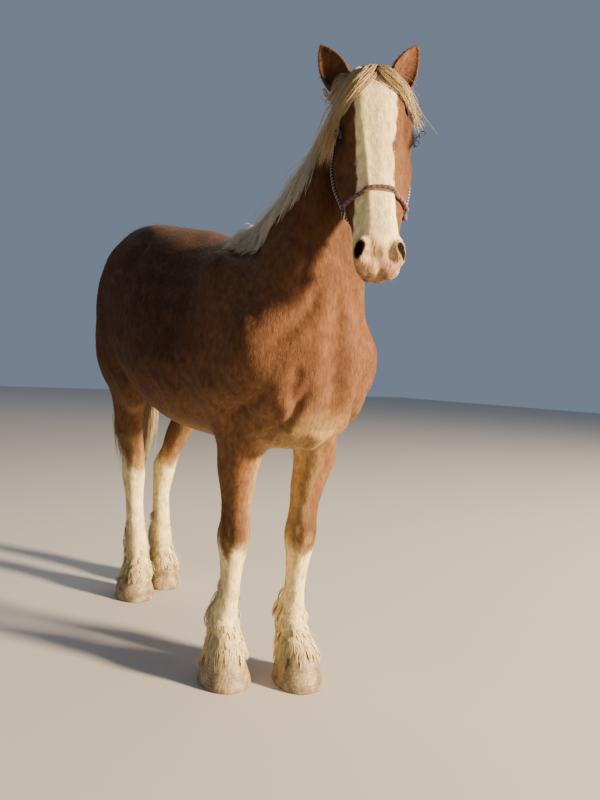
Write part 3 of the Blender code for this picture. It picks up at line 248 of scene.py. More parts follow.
def row_at(rows, place):
    """The row at a place between two rows of a list."""
    low = min(int(place), len(rows) - 2)
    return rows[low] + (rows[low + 1] - rows[low]) * (place - low)


def through(frame_matrix, points):
    """Points taken through a frame's matrix."""
    turned = np.array(frame_matrix)
    return points @ turned[:3, :3].T + turned[:3, 3]


def bridged(rings):
    """A closed bmesh skin over rings of points, all with the same count."""
    shape = bmesh.new()
    loops = []
    for ring in rings:
        verts = [shape.verts.new(point) for point in ring]
        loops.append([shape.edges.new(pair) for pair in zip(verts, verts[1:] + verts[:1])])
    for first, second in zip(loops, loops[1:]):
        bmesh.ops.bridge_loops(shape, edges=first + second)
    bmesh.ops.holes_fill(shape, edges=loops[0] + loops[-1], sides=0)
    bmesh.ops.recalc_face_normals(shape, faces=shape.faces)
    return shape


def object_from(name, shape):
    mesh = bpy.data.meshes.new(name)
    shape.to_mesh(mesh)
    shape.free()
    return placed(name, mesh)


def placed(name, data):
    """A new object of the scene."""
    made = bpy.data.objects.new(name, data)
    bpy.context.scene.collection.objects.link(made)
    return made


def added(whole, shape):
    """Moves a bmesh into another one."""
    part = bpy.data.meshes.new("part")
    shape.to_mesh(part)
    shape.free()
    whole.from_mesh(part)
    bpy.data.meshes.remove(part)


def together(name, shapes, place=None):
    """One object of several bmeshes, moved by place."""
    whole = bmesh.new()
    for shape in shapes:
        if place is not None:
            shape.transform(place)
            if place.determinant() < 0:
                bmesh.ops.reverse_faces(shape, faces=shape.faces)
        added(whole, shape)
    return object_from(name, whole)


def ball(centre, radii, lean=0.0, segments=32, turn=None):
    shape = bmesh.new()
    place = Matrix.Translation(centre) @ Matrix.Rotation(math.radians(lean), 4, "X")
    if turn is not None:
        place = turn @ place
    bmesh.ops.create_uvsphere(shape, u_segments=segments, v_segments=segments // 2, radius=1,
                              matrix=place @ Matrix.Diagonal((*radii, 1)))
    return shape


def both_sides(rows):
    return [ball((c[0] * side, *c[1:]), radii, lean) for c, radii, lean in rows for side in (LEFT, RIGHT)]


def rounded(angle, power):
    c, s = math.cos(angle), math.sin(angle)
    return math.copysign(abs(c) ** (2 / power), c), math.copysign(abs(s) ** (2 / power), s)


def applied(obj):
    """Ends an object's modifiers in its mesh."""
    bpy.context.view_layer.update()
    graph = bpy.context.evaluated_depsgraph_get()
    mesh = bpy.data.meshes.new_from_object(obj.evaluated_get(graph))
    old = obj.data
    obj.modifiers.clear()
    obj.data = mesh
    bpy.data.meshes.remove(old)
    obj.vertex_groups.clear()
    return obj


def remeshed(obj, voxel):
    change = obj.modifiers.new("one skin", "REMESH")
    change.mode = "VOXEL"
    change.voxel_size = voxel
    return applied(obj)


def smoothed(obj, times, weights=None):
    """Evens a mesh out, where weights are given by vertex in their share."""
    change = obj.modifiers.new("soft", "SMOOTH")
    change.factor = 0.5
    change.iterations = times
    if weights is not None:
        group = obj.vertex_groups.new(name="soft")
        for level in range(1, 11):
            chosen = np.nonzero(np.round(weights * 10) == level)[0]
            group.add(chosen.tolist(), level / 10, "REPLACE")
        change.vertex_group = "soft"
    return applied(obj)


def combined(obj, other, operation):
    change = obj.modifiers.new("join", "BOOLEAN")
    change.object = other
    change.operation = operation
    change.solver = "MANIFOLD"
    applied(obj)
    bpy.data.objects.remove(other)
    return obj


def cut(obj, shape):
    """Takes a bmesh out of an object."""
    combined(obj, object_from("cutter", shape), "DIFFERENCE")


def triples(rows, name):
    """A value of each row of a Blender list, three numbers each."""
    found = np.empty(len(rows) * 3, np.float32)
    rows.foreach_get(name, found)
    return found.reshape(-1, 3).astype(float)


def points_of(obj):
    return triples(obj.data.vertices, "co")


def normals_of(obj):
    return triples(obj.data.vertex_normals, "vector")


def set_points(obj, points):
    obj.data.vertices.foreach_set("co", points.ravel())
    obj.data.update()


def tree_of(obj):
    shape = bmesh.new()
    shape.from_mesh(obj.data)
    tree = BVHTree.FromBMesh(shape)
    shape.free()
    return tree


def tree_with(obj, others):
    """One search tree over a piece of the horse's frame and pieces that are already in the row frame."""
    points = [v.co.copy() for v in obj.data.vertices]
    faces = [tuple(p.vertices) for p in obj.data.polygons]
    for other in others:
        start = len(points)
        points += [v.co - SHIFT for v in other.data.vertices]
        faces += [tuple(start + v for v in p.vertices) for p in other.data.polygons]
    return BVHTree.FromPolygons(points, faces)


def waves(points, size, seed, count=9):
    """Soft blotches from -1 to 1, about size metres across."""
    draw = np.random.default_rng(seed)
    total = np.zeros(len(points))
    for _ in range(count):
        way = draw.normal(size=3)
        way /= np.linalg.norm(way)
        length = size * draw.uniform(0.7, 1.6)
        total += np.sin(points @ way * (2 * math.pi / length) + draw.uniform(0, 6.28))
    return total / math.sqrt(count / 2) * 0.6


def head_matrix():
    """The head's frame in the horse's own frame."""
    forward = Vector((-math.sin(HEAD_YAW), -math.cos(HEAD_YAW), 0))
    left = Vector((math.cos(HEAD_YAW), -math.sin(HEAD_YAW), 0))
    down = forward * math.sin(HEAD_TILT) - Vector((0, 0, math.cos(HEAD_TILT)))
    out = forward * math.cos(HEAD_TILT) + Vector((0, 0, math.sin(HEAD_TILT)))
    turned = Matrix((left, down, out)).transposed().to_4x4()
    return Matrix.Translation(POLL) @ turned @ Matrix.Rotation(-HEAD_ROLL, 4, "Z")


PLACE = head_matrix()
FROM_HEAD = np.array(PLACE.inverted())
TO_HEAD_DIRECTION = np.array(PLACE.to_3x3())


def in_head(points):
    """Points of the horse's frame in the head's frame."""
    return through(FROM_HEAD, points)


# The body under the coat

def torso_form(sides=40):
    rings = []
    for y, top, bottom, width, middle, power in smooth_rows(TORSO_ROWS, 4):
        ring = []
        for angle in turns_of(sides):
            upper = math.sin(angle) >= 0
            across, up = rounded(angle, power if upper else 2.2)
            ring.append((across * width, y, middle + up * (top - middle if upper else middle - bottom)))
        rings.append(ring)
    return bridged(rings)


def neck_form(sides=32):
    rings = []
    for row in smooth_rows(NECK_ROWS, 4):
        crest, under, width = Vector(row[0:3]), Vector(row[3:6]), row[6]
        middle, up = (crest + under) / 2, (crest - under) / 2
        across = Vector((1, 0, 0))
        across = (across - across.project(up)).normalized()
        rings.append([
            middle + across * math.cos(a) * width * (1 - 0.28 * math.sin(a)) + up * math.sin(a)
            for a in turns_of(sides)
        ])
    return bridged(rings)


def on_axis(kind, side, height):
    points = LEG_AXES[kind, side]
    for (z1, x1, y1), (z2, x2, y2) in zip(points, points[1:]):
        if height >= z2:
            share = max(0.0, min(1.0, (z1 - height) / (z1 - z2)))
            return x1 + (x2 - x1) * share, y1 + (y2 - y1) * share
    return points[-1][1:]


def leg_form(kind, side, sides=28):
    rings = []
    for height, width, length in smooth_rows(LEG_ROWS[kind], 4):
        x, y = on_axis(kind, side, height)
        ring = [rounded(angle, 2.15) for angle in turns_of(sides)]
        rings.append([(x + a * width, y + b * length, height) for a, b in ring])
    return bridged(rings)


def hock_form(side):
    rings = []
    for height, back, thick in smooth_rows(HOCK_ROWS, 2):
        x, y = on_axis("hind", side, height)
        rings.append([
            (x + thick * math.cos(a), y + back + 1.25 * thick * math.sin(a), height)
            for a in turns_of(16)
        ])
    return bridged(rings)


def dock_form(sides=16):
    rows = smooth_rows(DOCK_ROWS, 2)
    rings = []
    for i, (height, y, width, thick) in enumerate(rows):
        before, after = rows[max(0, i - 1)], rows[min(len(rows) - 1, i + 1)]
        run = Vector((0, after[1] - before[1], after[0] - before[0])).normalized()
        back = run.cross(Vector((1, 0, 0)))
        rings.append([
            Vector((0, y, height)) + Vector((1, 0, 0)) * width * math.cos(a) + back * thick * math.sin(a)
            for a in turns_of(sides)
        ])
    return bridged(rings)


def head_form():
    rings = []
    for along, face, jaw, w_face, w_cheek, w_jaw, cheek in smooth_rows(HEAD_ROWS, 4):
        depth = face - jaw
        half = [
            (0.0, face), (w_face * 0.75, face - 0.02 * depth), (w_face * 1.25, face - 0.12 * depth),
            (w_cheek, cheek), (w_cheek * 0.93, (cheek + jaw) / 2 + 0.08 * depth),
            (w_jaw, jaw + 0.13 * depth), (w_jaw * 0.5, jaw + 0.012 * depth), (0.0, jaw),
        ]
        outline = half + [(-x, n) for x, n in reversed(half[1:-1])]
        rounded_off = smooth_rows(outline[-2:] + outline + outline[:2], 3)[6:-6]
        rings.append([(x, along, n) for x, n in rounded_off])
    return bridged(rings)


def looking(point, facing):
    z = facing.normalized()
    y = Vector((0, 1, 0))
    y = (y - y.project(z)).normalized()
    return Matrix.Translation(point) @ Matrix((y.cross(z), y, z)).transposed().to_4x4()


def mirror_side(side):
    return Matrix.Diagonal((side, 1, 1, 1))


EYE_FRAMES = {side: PLACE @ mirror_side(side) @ looking(EYE, EYE_FACING) for side in (LEFT, RIGHT)}


def nostril_frame(side):
    lean = Matrix.Rotation(math.radians(46 * side), 4, "Y")
    turn = Matrix.Rotation(math.radians(-24 * side), 4, "Z")
    return Matrix.Translation((NOSTRIL.x * side, NOSTRIL.y, NOSTRIL.z)) @ lean @ turn


def ear_frame(side):
    z = (EAR_TIPS[side] - EAR_BASE).normalized()
    y = -(EAR_FACING - EAR_FACING.project(z)).normalized()
    turned = Matrix((y.cross(z), y, z)).transposed().to_4x4()
    return PLACE @ mirror_side(side) @ Matrix.Translation(EAR_BASE) @ turned


def ear_form(rows, length, sides=28):
    rings = []
    for share, width, depth, back in smooth_rows(rows, 4):
        rings.append([
            (width * math.cos(a), back + depth * math.sin(a), share * length)
            for a in turns_of(sides)
        ])
    return bridged(rings)


def ear_shell(side):
    length = (EAR_TIPS[side] - EAR_BASE).length
    ear = together("ear", [ear_form(EAR_ROWS, length)], ear_frame(side))
    cup = together("cup", [ear_form(EAR_CUP_ROWS, length)], ear_frame(side))
    combined(ear, cup, "DIFFERENCE")
    return smoothed(remeshed(ear, 0.0032), 4)


# Strokes of the sculptor: a line of points, its width, how deep it presses (below 0 it raises)
BODY_STROKES = (
    (((0.13, -0.02, 1.7), (0.19, -0.13, 1.52), (0.235, -0.26, 1.3)), 0.034, 0.013),
    (((0.21, 0.09, 1.63), (0.26, 0.0, 1.5), (0.27, -0.13, 1.32)), 0.03, -0.007),
    (((0.29, 0.2, 1.46), (0.31, 0.21, 1.26), (0.28, 0.15, 1.08), (0.23, 0.09, 0.99)), 0.034, 0.014),
    (((0.29, 0.02, 1.34), (0.29, 0.07, 1.18), (0.26, 0.05, 1.06)), 0.032, 0.007),
    (((0.2, -0.29, 1.13), (0.24, -0.19, 1.05), (0.26, -0.06, 1.0)), 0.019, 0.019),
    (((0.1, -0.36, 1.14), (0.13, -0.29, 1.01), (0.14, -0.16, 0.95)), 0.017, 0.017),
    (((0.3, 0.78, 1.14), (0.33, 0.7, 1.24), (0.34, 0.62, 1.38)), 0.034, 0.013),
    (((0.25, 1.24, 1.6), (0.29, 1.19, 1.36), (0.27, 1.14, 1.18), (0.22, 1.14, 1.02)), 0.028, 0.011),
    (((0.3, 0.95, 1.52), (0.31, 0.92, 1.34), (0.28, 0.9, 1.18)), 0.04, 0.007),
    (((0.285, 0.74, 1.7),), 0.055, -0.012),
    (((0.11, -0.36, 1.78), (0.14, -0.38, 1.62), (0.16, -0.36, 1.46)), 0.022, 0.008),
    (((0.26, -0.08, 1.02), (0.22, -0.24, 1.0), (0.12, -0.33, 0.98)), 0.06, 0.026),
    (((0.27, -0.1, 0.98),), 0.08, 0.03), (((0.16, 0.0, 1.66),), 0.075, 0.012),
    (((0.1, -0.22, 1.97), (0.15, -0.12, 1.8), (0.19, 0.0, 1.66)), 0.04, 0.006),
    (((0.33, 0.3, 1.1), (0.35, 0.55, 1.14)), 0.03, 0.004),
    (((0.1, -0.3, 0.93), (0.15, -0.2, 0.93)), 0.05, 0.018),
    (((0.05, -0.34, 1.5), (0.1, -0.38, 1.41), (0.17, -0.36, 1.33), (0.22, -0.31, 1.28)), 0.024, 0.01),
    (((0.07, -0.41, 1.34), (0.075, -0.42, 1.22), (0.07, -0.4, 1.1)), 0.03, -0.008),
    (((0.15, -0.39, 1.22), (0.155, -0.37, 1.12), (0.13, -0.35, 1.04)), 0.02, 0.009),
)
MIDDLE_STROKES = (
    (((0.0, -0.36, 1.48), (0.0, -0.41, 1.36), (0.0, -0.43, 1.22), (0.0, -0.41, 1.08), (0.0, -0.36, 0.99)),
     0.032, 0.017),
    (((0.0, -0.34, 0.98), (0.0, -0.22, 0.95)), 0.04, -0.022),
    (((0.0, 0.62, 1.83), (0.0, 0.9, 1.88), (0.0, 1.2, 1.8)), 0.038, 0.014),
    (((0.0, 0.2, 1.72), (0.0, 0.45, 1.76)), 0.03, -0.004),
)
HEAD_STROKES = (
    (((0.112, 0.285, -0.108), (0.112, 0.34, -0.11), (0.1, 0.41, -0.106)), 0.009, -0.0035),
    (((0.066, 0.3, -0.02), (0.058, 0.38, -0.034), (0.05, 0.47, -0.04), (0.05, 0.54, -0.046)),
     0.016, 0.0055),
    (((0.052, 0.24, 0.004), (0.043, 0.4, -0.01), (0.034, 0.54, -0.018)), 0.01, -0.0025),
    (((0.082, 0.15, -0.04), (0.088, 0.175, -0.05)), 0.017, 0.0075),
    (((0.104, 0.43, -0.098), (0.088, 0.39, -0.066), (0.072, 0.345, -0.044)), 0.0035, -0.0014),
    (((0.104, 0.43, -0.098), (0.09, 0.475, -0.085), (0.078, 0.53, -0.07), (0.07, 0.59, -0.06)),
     0.0035, -0.0013),
    (((0.09, 0.475, -0.085), (0.075, 0.5, -0.06), (0.06, 0.545, -0.045)), 0.003, -0.0011),
    (((0.09, 0.33, -0.23), (0.104, 0.26, -0.245), (0.098, 0.17, -0.255)), 0.02, 0.004),
    (((0.112, 0.32, -0.15), (0.108, 0.37, -0.17), (0.09, 0.42, -0.17)), 0.018, 0.004),
    (((0.06, 0.612, -0.126), (0.052, 0.595, -0.13)), 0.006, 0.003),
    (((0.0, 0.69, -0.06), (0.0, 0.7, -0.1)), 0.005, 0.0025),
    (((0.0, 0.636, -0.172), (0.03, 0.64, -0.16)), 0.006, 0.003),
)
# Strokes beside a leg's axis, on both sides of it: points as (away from the axis, back, height), width, depth
KNEE_HEIGHT, HOCK_HEIGHT = 0.58, 0.74
KNEE_STROKES = (
    (((0.045, -0.055, 0.625), (0.05, -0.05, 0.53)), 0.016, 0.006),
    (((0.058, 0.02, 0.8), (0.056, 0.02, 0.68)), 0.014, 0.005),
)
HOCK_STROKES = ((((0.04, 0.045, 0.86), (0.036, 0.045, 0.7)), 0.018, 0.011),)
TENDON_HEIGHTS = {"fore": (0.5, 0.42, 0.34, 0.28), "hind": (0.56, 0.46, 0.36, 0.29)}


def traced(tree, strokes, sides=(LEFT, RIGHT), step=0.03):
    """Strokes laid on the surface: each line cut into short steps that are moved to the nearest skin."""
    made = []
    for line, width, depth in strokes:
        for side in sides:
            marks = [Vector((x * side, y, z)) for x, y, z in line]
            laid_out = [marks[0]]
            for a, b in zip(marks, marks[1:]):
                cuts = max(1, int((b - a).length / step))
                laid_out += [a.lerp(b, k / cuts) for k in range(1, cuts + 1)]
            made.append((np.array([tuple(tree.find_nearest(mark)[0]) for mark in laid_out]), width, depth))
    return made


def pressed(points, strokes):
    """How far each point moves inwards under the traced strokes, which fade at both ends."""
    total = np.zeros(len(points))
    for marks, width, depth in strokes:
        low, high = marks.min(0) - 3 * width, marks.max(0) + 3 * width
        near = np.nonzero(((points > low) & (points < high)).all(1))[0]
        spots = points[near]
        away, along = np.full(len(near), 9.0), np.zeros(len(near))
        count = max(1, len(marks) - 1)
        for k in range(count):
            run = marks[min(k + 1, len(marks) - 1)] - marks[k]
            share = np.clip((spots - marks[k]) @ run / max(run @ run, 1e-9), 0, 1)
            here = np.linalg.norm(spots - marks[k] - share[:, None] * run, axis=1)
            along = np.where(here < away, (k + share) / count, along)
            away = np.minimum(away, here)
        fade = np.minimum(1, 0.25 + 3.5 * np.minimum(along, 1 - along)) if len(marks) > 1 else 1.0
        total[near] += depth * fade * ridge(away, 0.0, width)
    return total


def leg_strokes():
    """Tendons, the heel's hollow and the edges of the knee and the hock, along each leg's own axis."""
    made = []
    for kind, side in LEG_AXES:
        for out in (-1, 1):
            axis = [(*on_axis(kind, side, z), z) for z in TENDON_HEIGHTS[kind]]
            made.append((tuple((x + out * 0.044, y + 0.018, z) for x, y, z in axis), 0.009, 0.0065))
        x, y = on_axis(kind, side, 0.2)
        made.append((((x, y + 0.075, 0.215), (x, y + 0.085, 0.15)), 0.016, 0.009))
        height, strokes = (KNEE_HEIGHT, KNEE_STROKES) if kind == "fore" else (HOCK_HEIGHT, HOCK_STROKES)
        x, y = on_axis(kind, side, height)
        for out in (-1, 1):
            for line, width, depth in strokes:
                made.append((tuple((x + out * away, y + back, z) for away, back, z in line), width, depth))
    return tuple(made)


def made_head():
    head = together("head", [head_form(), *both_sides(HEAD_MUSCLES)], PLACE)
    for side in (LEFT, RIGHT):
        grouped(head, ball((0, 0, 0), [EYE_RADIUS + LID_THICKNESS] * 3, turn=EYE_FRAMES[side]))
    smoothed(remeshed(head, 0.004), 26)
    points, normals = points_of(head), normals_of(head)
    local = in_head(points)
    faces = [tuple(face.vertices) for face in head.data.polygons]
    surface = BVHTree.FromPolygons([Vector(point) for point in local], faces)
    push = pressed(local, traced(surface, HEAD_STROKES, step=0.01))
    push += lid_folds(local) + muzzle_folds(local)
    set_points(head, points - normals * (push + 0.0012)[:, None])
    for side in (LEFT, RIGHT):
        cut(head, ball((0, 0, 0), [EYE_RADIUS + 0.0006] * 3, turn=EYE_FRAMES[side]))
        cut(head, ball((0, 0.0007, EYE_RADIUS + LID_THICKNESS), LID_OPENING, 4, turn=EYE_FRAMES[side]))
        cut(head, ball((0, 0, 0), NOSTRIL_RADII, turn=PLACE @ nostril_frame(side)))
    mouth = bmesh.new()
    place = PLACE @ Matrix.Translation((0, MOUTH_CORNER + 0.06, MOUTH_DEPTH))
    bmesh.ops.create_cube(mouth, size=1, matrix=place @ Matrix.Diagonal((0.2, 0.12, 0.0022, 1)))
    cut(head, mouth)
    for side in (LEFT, RIGHT):
        combined(head, ear_shell(side), "UNION")
    return head


def grouped(obj, shape):
    """Puts a bmesh into an object's mesh."""
    whole = bmesh.new()
    whole.from_mesh(obj.data)
    added(whole, shape)
    whole.to_mesh(obj.data)
    whole.free()


def lid_folds(local):
    """Creases round each eye: two over the upper lid, one under the lower, and the brow's edge."""
    total = np.zeros(len(local))
    for side in (LEFT, RIGHT):
        spot = through((mirror_side(side) @ looking(EYE, EYE_FACING)).inverted(), local)
        near = (np.linalg.norm(spot, axis=1) < 0.07) & (spot[:, 2] > -0.01)
        x, y = spot[near, :2].T
        reach = np.sqrt((x / 0.62) ** 2 + y ** 2)
        upper, lower = past(x, 0.012), past(-x, 0.012)
        for depth, middle, width, part in (
                (0.0022, 0.0285, 0.0022, upper), (0.0016, 0.0355, 0.0024, upper),
                (0.0016, 0.029, 0.0022, lower), (-0.0018, 0.0225, 0.003, 1), (-0.0022, 0.047, 0.009, upper)):
            total[near] += depth * ridge(reach, middle, width) * part
    return total


def muzzle_folds(local):
    """Wrinkles about 10 mm apart down the lips and round the chin, and the nostrils' raised rims."""
    across, along, out = local.T
    band = steps_between(along, 0.6, 0.64) * past(0.712 - along, 0.02)
    lines = np.sin(across * 620 + 2.5 * np.sin(along * 90)) * 0.5 + 0.5
    total = 0.0011 * lines ** 2 * band * steps_between(np.abs(across), 0.004, 0.02)
    chin = steps_between(along, 0.6, 0.63) * steps_between(-out, 0.135, 0.15)
    total += 0.001 * (np.sin(along * 700 + across * 60) * 0.5 + 0.5) * chin
    for side in (LEFT, RIGHT):
        x, y, z = through(nostril_frame(side).inverted(), local).T
        reach = np.sqrt((x / 0.6) ** 2 + y ** 2)
        close = np.abs(z) < 0.045
        total -= close * 0.0022 * ridge(reach, 0.031, 0.006)
        total += close * 0.0016 * ridge(reach, 0.047, 0.0085)
    return total


def made_skin():
    """The whole skin, from the poll to the pasterns."""
    forms = [torso_form(), neck_form(), *both_sides(BODY_MUSCLES), dock_form()]
    forms += [leg_form(kind, side) for kind, side in LEG_AXES]
    forms += [hock_form(side) for side in (LEFT, RIGHT)]
    skin = together("skin", forms)
    voxel = 0.0115
    remeshed(skin, voxel)
    # the passes were set on cells of 22 mm, and finer cells need more of them
    finer = (0.022 / voxel) ** 2
    trunk = np.clip((points_of(skin)[:, 2] - 0.85) / 0.25, 0, 1)
    dock = steps_between(points_of(skin)[:, 1], 1.3, 1.36)
    smoothed(skin, int(22 * finer), trunk * (1 - dock))
    smoothed(skin, int(1.5 * finer))
    points, normals = points_of(skin), normals_of(skin)
    surface = tree_of(skin)
    strokes = traced(surface, BODY_STROKES) + traced(surface, MIDDLE_STROKES + leg_strokes(), (LEFT,))
    push = pressed(points, strokes)
    push += 0.0022 * waves(points, 0.16, 4) * steps_between(points[:, 2], 0.9, 1.1) + 0.003
    set_points(skin, points - normals * push[:, None])
    fewer = skin.modifiers.new("fewer faces", "DECIMATE")
    fewer.ratio = 0.52
    applied(skin)
    head = made_head()
    seam = (tree_of(skin), tree_of(head))
    combined(skin, head, "UNION")
    points = points_of(skin)
    local = in_head(points)
    weights = np.zeros(len(points))
    for i in np.nonzero((local[:, 1] < 0.42) & (local[:, 2] < -0.05) & (np.abs(local[:, 0]) < 0.2)
                        & (local[:, 1] > -0.2) & (local[:, 2] > -0.45))[0]:
        spot = Vector(points[i])
        far = max(tree.find_nearest(spot)[3] for tree in seam)
        weights[i] = 1 - min(1.0, max(0.0, (far - 0.006) / 0.035))
    ears = past(-local[:, 1], 0.06)
    smoothed(skin, 30, weights * (1 - ears))
    return skin


# Colours of the coat, by place on the body

SORREL, DARK_SORREL_AND_SHADE, PALE_SORREL = rgb("#6a472f"), rgb("#2e1c16"), rgb("#97704a")
CREAM, WHITE_HAIR, DUSTY_HAIR = rgb("#cfae74"), rgb("#f5dfa5"), rgb("#a8946b")
PINK_SKIN, GREY_SKIN, DARK_SKIN_AND_SHADE = rgb("#b37f59"), rgb("#6f5347"), rgb("#211815")
FLAXEN_ROOT, FLAXEN_PALE = rgb("#978a6e"), rgb("#eae2cf")
FORELOCK_ROOT, FORELOCK_PALE = rgb("#967750"), rgb("#d3b98c")
TAIL_DARK, TAIL_PALE = rgb("#7d6747"), rgb("#d6c299")
EYE_WHITE, IRIS, PUPIL = rgb("#6b5546"), rgb("#2b170b"), rgb("#050303")

# The blaze: how far down the face, how far to the left its middle is, half width
BLAZE_ROWS = np.array((
    (0.02, 0.0, 0.0), (0.05, -0.003, 0.024), (0.09, -0.005, 0.052), (0.14, -0.008, 0.068),
    (0.22, -0.011, 0.066), (0.3, -0.013, 0.057), (0.4, -0.011, 0.056), (0.5, -0.01, 0.061),
    (0.57, -0.008, 0.071), (0.63, -0.004, 0.08), (0.72, 0.0, 0.09),
))


def mixed(base, other, share):
    return base + (other - base) * np.clip(share, 0, 1)[:, None]


def layered(base, layers):
    """Lays colours over a base one after another, each by its share."""
    for colour, share in layers:
        base = mixed(base, colour, share)
    return base


def head_region(local):
    """1 on the head, 0 on the rest of the body, for points of the head's frame."""
    behind = local[:, 2] + 0.33 - 0.16 * steps_between(local[:, 1], 0.38, 0.6)
    return steps_between(np.minimum.reduce((behind, 0.17 - np.abs(local[:, 0]), local[:, 1] + 0.1,
                                            0.76 - local[:, 1])), 0.0, 0.04)


def body_colours(points, normals):
    """Sorrel: darker on the flank (partly painted shade), thighs and knees, paler low down, cream inside the
    legs.
    """
    height, back, fore = points[:, 2], points[:, 1], points[:, 1] < 0.55
    low_front = past(1.1 - height, 0.16) * past(0.1 - back, 0.2)
    inner = np.where(points[:, 0] > 0, -normals[:, 0], normals[:, 0])
    limb = past(1.02 - height, 0.1)
    return layered(np.tile(SORREL, (len(points), 1)), (
        (DARK_SORREL_AND_SHADE, 0.24 + 0.12 * waves(points, 0.34, 1)),
        # partly painted shade: the trunk behind the shoulder is darker, partly as the coat's own colour and
        # partly as the shade on the flank
        (DARK_SORREL_AND_SHADE, 0.6 * steps_between(back, -0.15, 0.3) * steps_between(height, 0.8, 1.15)),
        (PALE_SORREL, 0.3 * past(1.25 - height, 0.3) + 0.07 * waves(points, 0.06, 2)),
        (CREAM, 0.45 * low_front * past(0.16 - np.abs(points[:, 0]), 0.1)),
        (CREAM, 0.4 * past(1.02 - height, 0.12) * steps_between(-normals[:, 2], 0.3, 0.9)),
        (CREAM, np.where(fore, 0.8, 0.22) * limb * past(inner, 0.7)),
        (DARK_SORREL_AND_SHADE, 0.3 * ~fore * steps_between(height, 0.7, 0.8) * limb),
        # painted light: the forward-facing sides of the forelegs are lighter, as if lit from the front
        (SORREL * 1.1, 0.6 * limb * fore * past(-normals[:, 1], 0.6)),
        (DARK_SORREL_AND_SHADE, 0.35 * fore * ridge(height, 0.6, 0.07)),
    ))


def stocking_colours(made, points, normals, ragged):
    """White stockings with ragged tops, worn in places and dusty towards the hoof."""
    height, fore = points[:, 2], points[:, 1] < 0.55
    edge = 0.02 * waves(points * (1, 1, 0.35), 0.05, 3) + ragged * 0.02
    top = np.where(fore, 0.525 + 0.03 * (normals[:, 1] > 0), 0.72 + 0.05 * normals[:, 1])
    worn = steps_between(waves(points * (1, 1, 0.45), 0.03, 9), -0.2, 0.9) * past(top - height, 0.05)
    return layered(made, (
        (CREAM, 0.3 * past(top + 0.05 + edge * 2 - height, 0.05)),
        (WHITE_HAIR, past(top + edge - height, 0.045)),
        (DUSTY_HAIR, 0.4 * worn),
        (DUSTY_HAIR, 0.65 * past(0.26 + edge - height, 0.22)),
    ))


def head_colours(made, points, ragged):
    """Darker sides, the blaze, the pink muzzle with grey creases, dark lids, and painted shade round the eyes
    and inside the nostrils.
    """
    local = in_head(points)
    across, along, out = local.T
    head = head_region(local)
    middle, half = (np.interp(along, BLAZE_ROWS[:, 0], BLAZE_ROWS[:, k]) for k in (1, 2))
    rough = 0.0035 * waves(local * (1, 0.4, 1), 0.02, 5) + 0.004 * ragged
    front = past(out + 0.1 + 0.04 * steps_between(along, 0.5, 0.62), 0.02)
    low = along + 0.02 * waves(local, 0.05, 6) + 0.2 * np.maximum(0, -0.105 - out)
    muzzle = steps_between(low, 0.585, 0.665) * head
    creased = steps_between(waves(local * (1, 0.22, 0.3), 0.013, 11), 0.05, 0.75)
    made = layered(made, (
        (DARK_SORREL_AND_SHADE, 0.4 * head * steps_between(np.abs(across), 0.07, 0.1) * past(0.45 - along, 0.2)),
        (WHITE_HAIR, past(half + rough - np.abs(across - middle), 0.007) * front * head * (half > 0.004)),
        (PINK_SKIN, 0.8 * muzzle),
        (GREY_SKIN, 0.55 * muzzle * steps_between(waves(local, 0.035, 7), 0.35, 0.7)),
        (GREY_SKIN, 0.55 * creased * steps_between(low, 0.6, 0.65) * head * (np.abs(across) < 0.045)),
        (GREY_SKIN * 0.7, 0.6 * head * steps_between(low, 0.685, 0.715)),
    ))
    for side in (LEFT, RIGHT):
        x, y, z = through(EYE_FRAMES[side].inverted(), points).T
        reach = np.sqrt((x / 0.66) ** 2 + y ** 2)
        near = (z > -0.01) * (z < 0.06)
        deep = np.linalg.norm(through(nostril_frame(side).inverted(), local) / NOSTRIL_RADII, axis=1)
        made = layered(made, (
            # dark lid skin, partly painted shade, and round it a ring of painted shade on the hair of the
            # eye's socket
            (DARK_SKIN_AND_SHADE, near * past(0.031 - reach, 0.006)),
            (DARK_SORREL_AND_SHADE, 0.6 * near * past(0.046 - reach, 0.014)),
            # painted shade inside each nostril
            (DARK_SKIN_AND_SHADE * 0.8, past(1.24 - deep, 0.22)),
            (PINK_SKIN, 0.5 * past(1.5 - deep, 0.3) * steps_between(deep, 1.05, 1.2)),
        ))
    return made


def coat_colours(points, normals, ragged=0.0):
    """The coat's colour at points of the horse's frame; ragged shifts the edges of the markings."""
    made = body_colours(points, normals)
    made = stocking_colours(made, points, normals, ragged)
    made = head_colours(made, points, ragged)
    return made * (1 + 0.035 * waves(points, 0.06, 2) + 0.04 * waves(points, 0.012, 8))[:, None]


# How the hair lies

def lie_of(points, normals):
    """The way the short hair lies over the skin: back and down the trunk, down the legs, down the face."""
    local = in_head(points)
    down = np.stack((0.35 * np.sign(local[:, 0]) * past(np.abs(local[:, 0]), 0.05),
                     np.where(local[:, 1] < 0.13, -0.7, 1.0), -0.35 * np.ones(len(points))), 1)
    way = layered(np.tile((0.0, 0.75, -0.62), (len(points), 1)), (
        (np.array((0.0, 0.16, -1.0)), past(1.12 - points[:, 2], 0.2)),
        (np.array((0.0, 0.0, -1.0)), steps_between(-normals[:, 1], 0.3, 0.9)),
    ))
    way[:, 0] += 0.1 * waves(points, 0.3, 11)
    way[:, 1] += 0.1 * waves(points, 0.22, 12)
    way = mixed(way, down @ TO_HEAD_DIRECTION.T, head_region(local))
    return unit(way - normals * np.sum(way * normals, axis=1)[:, None])


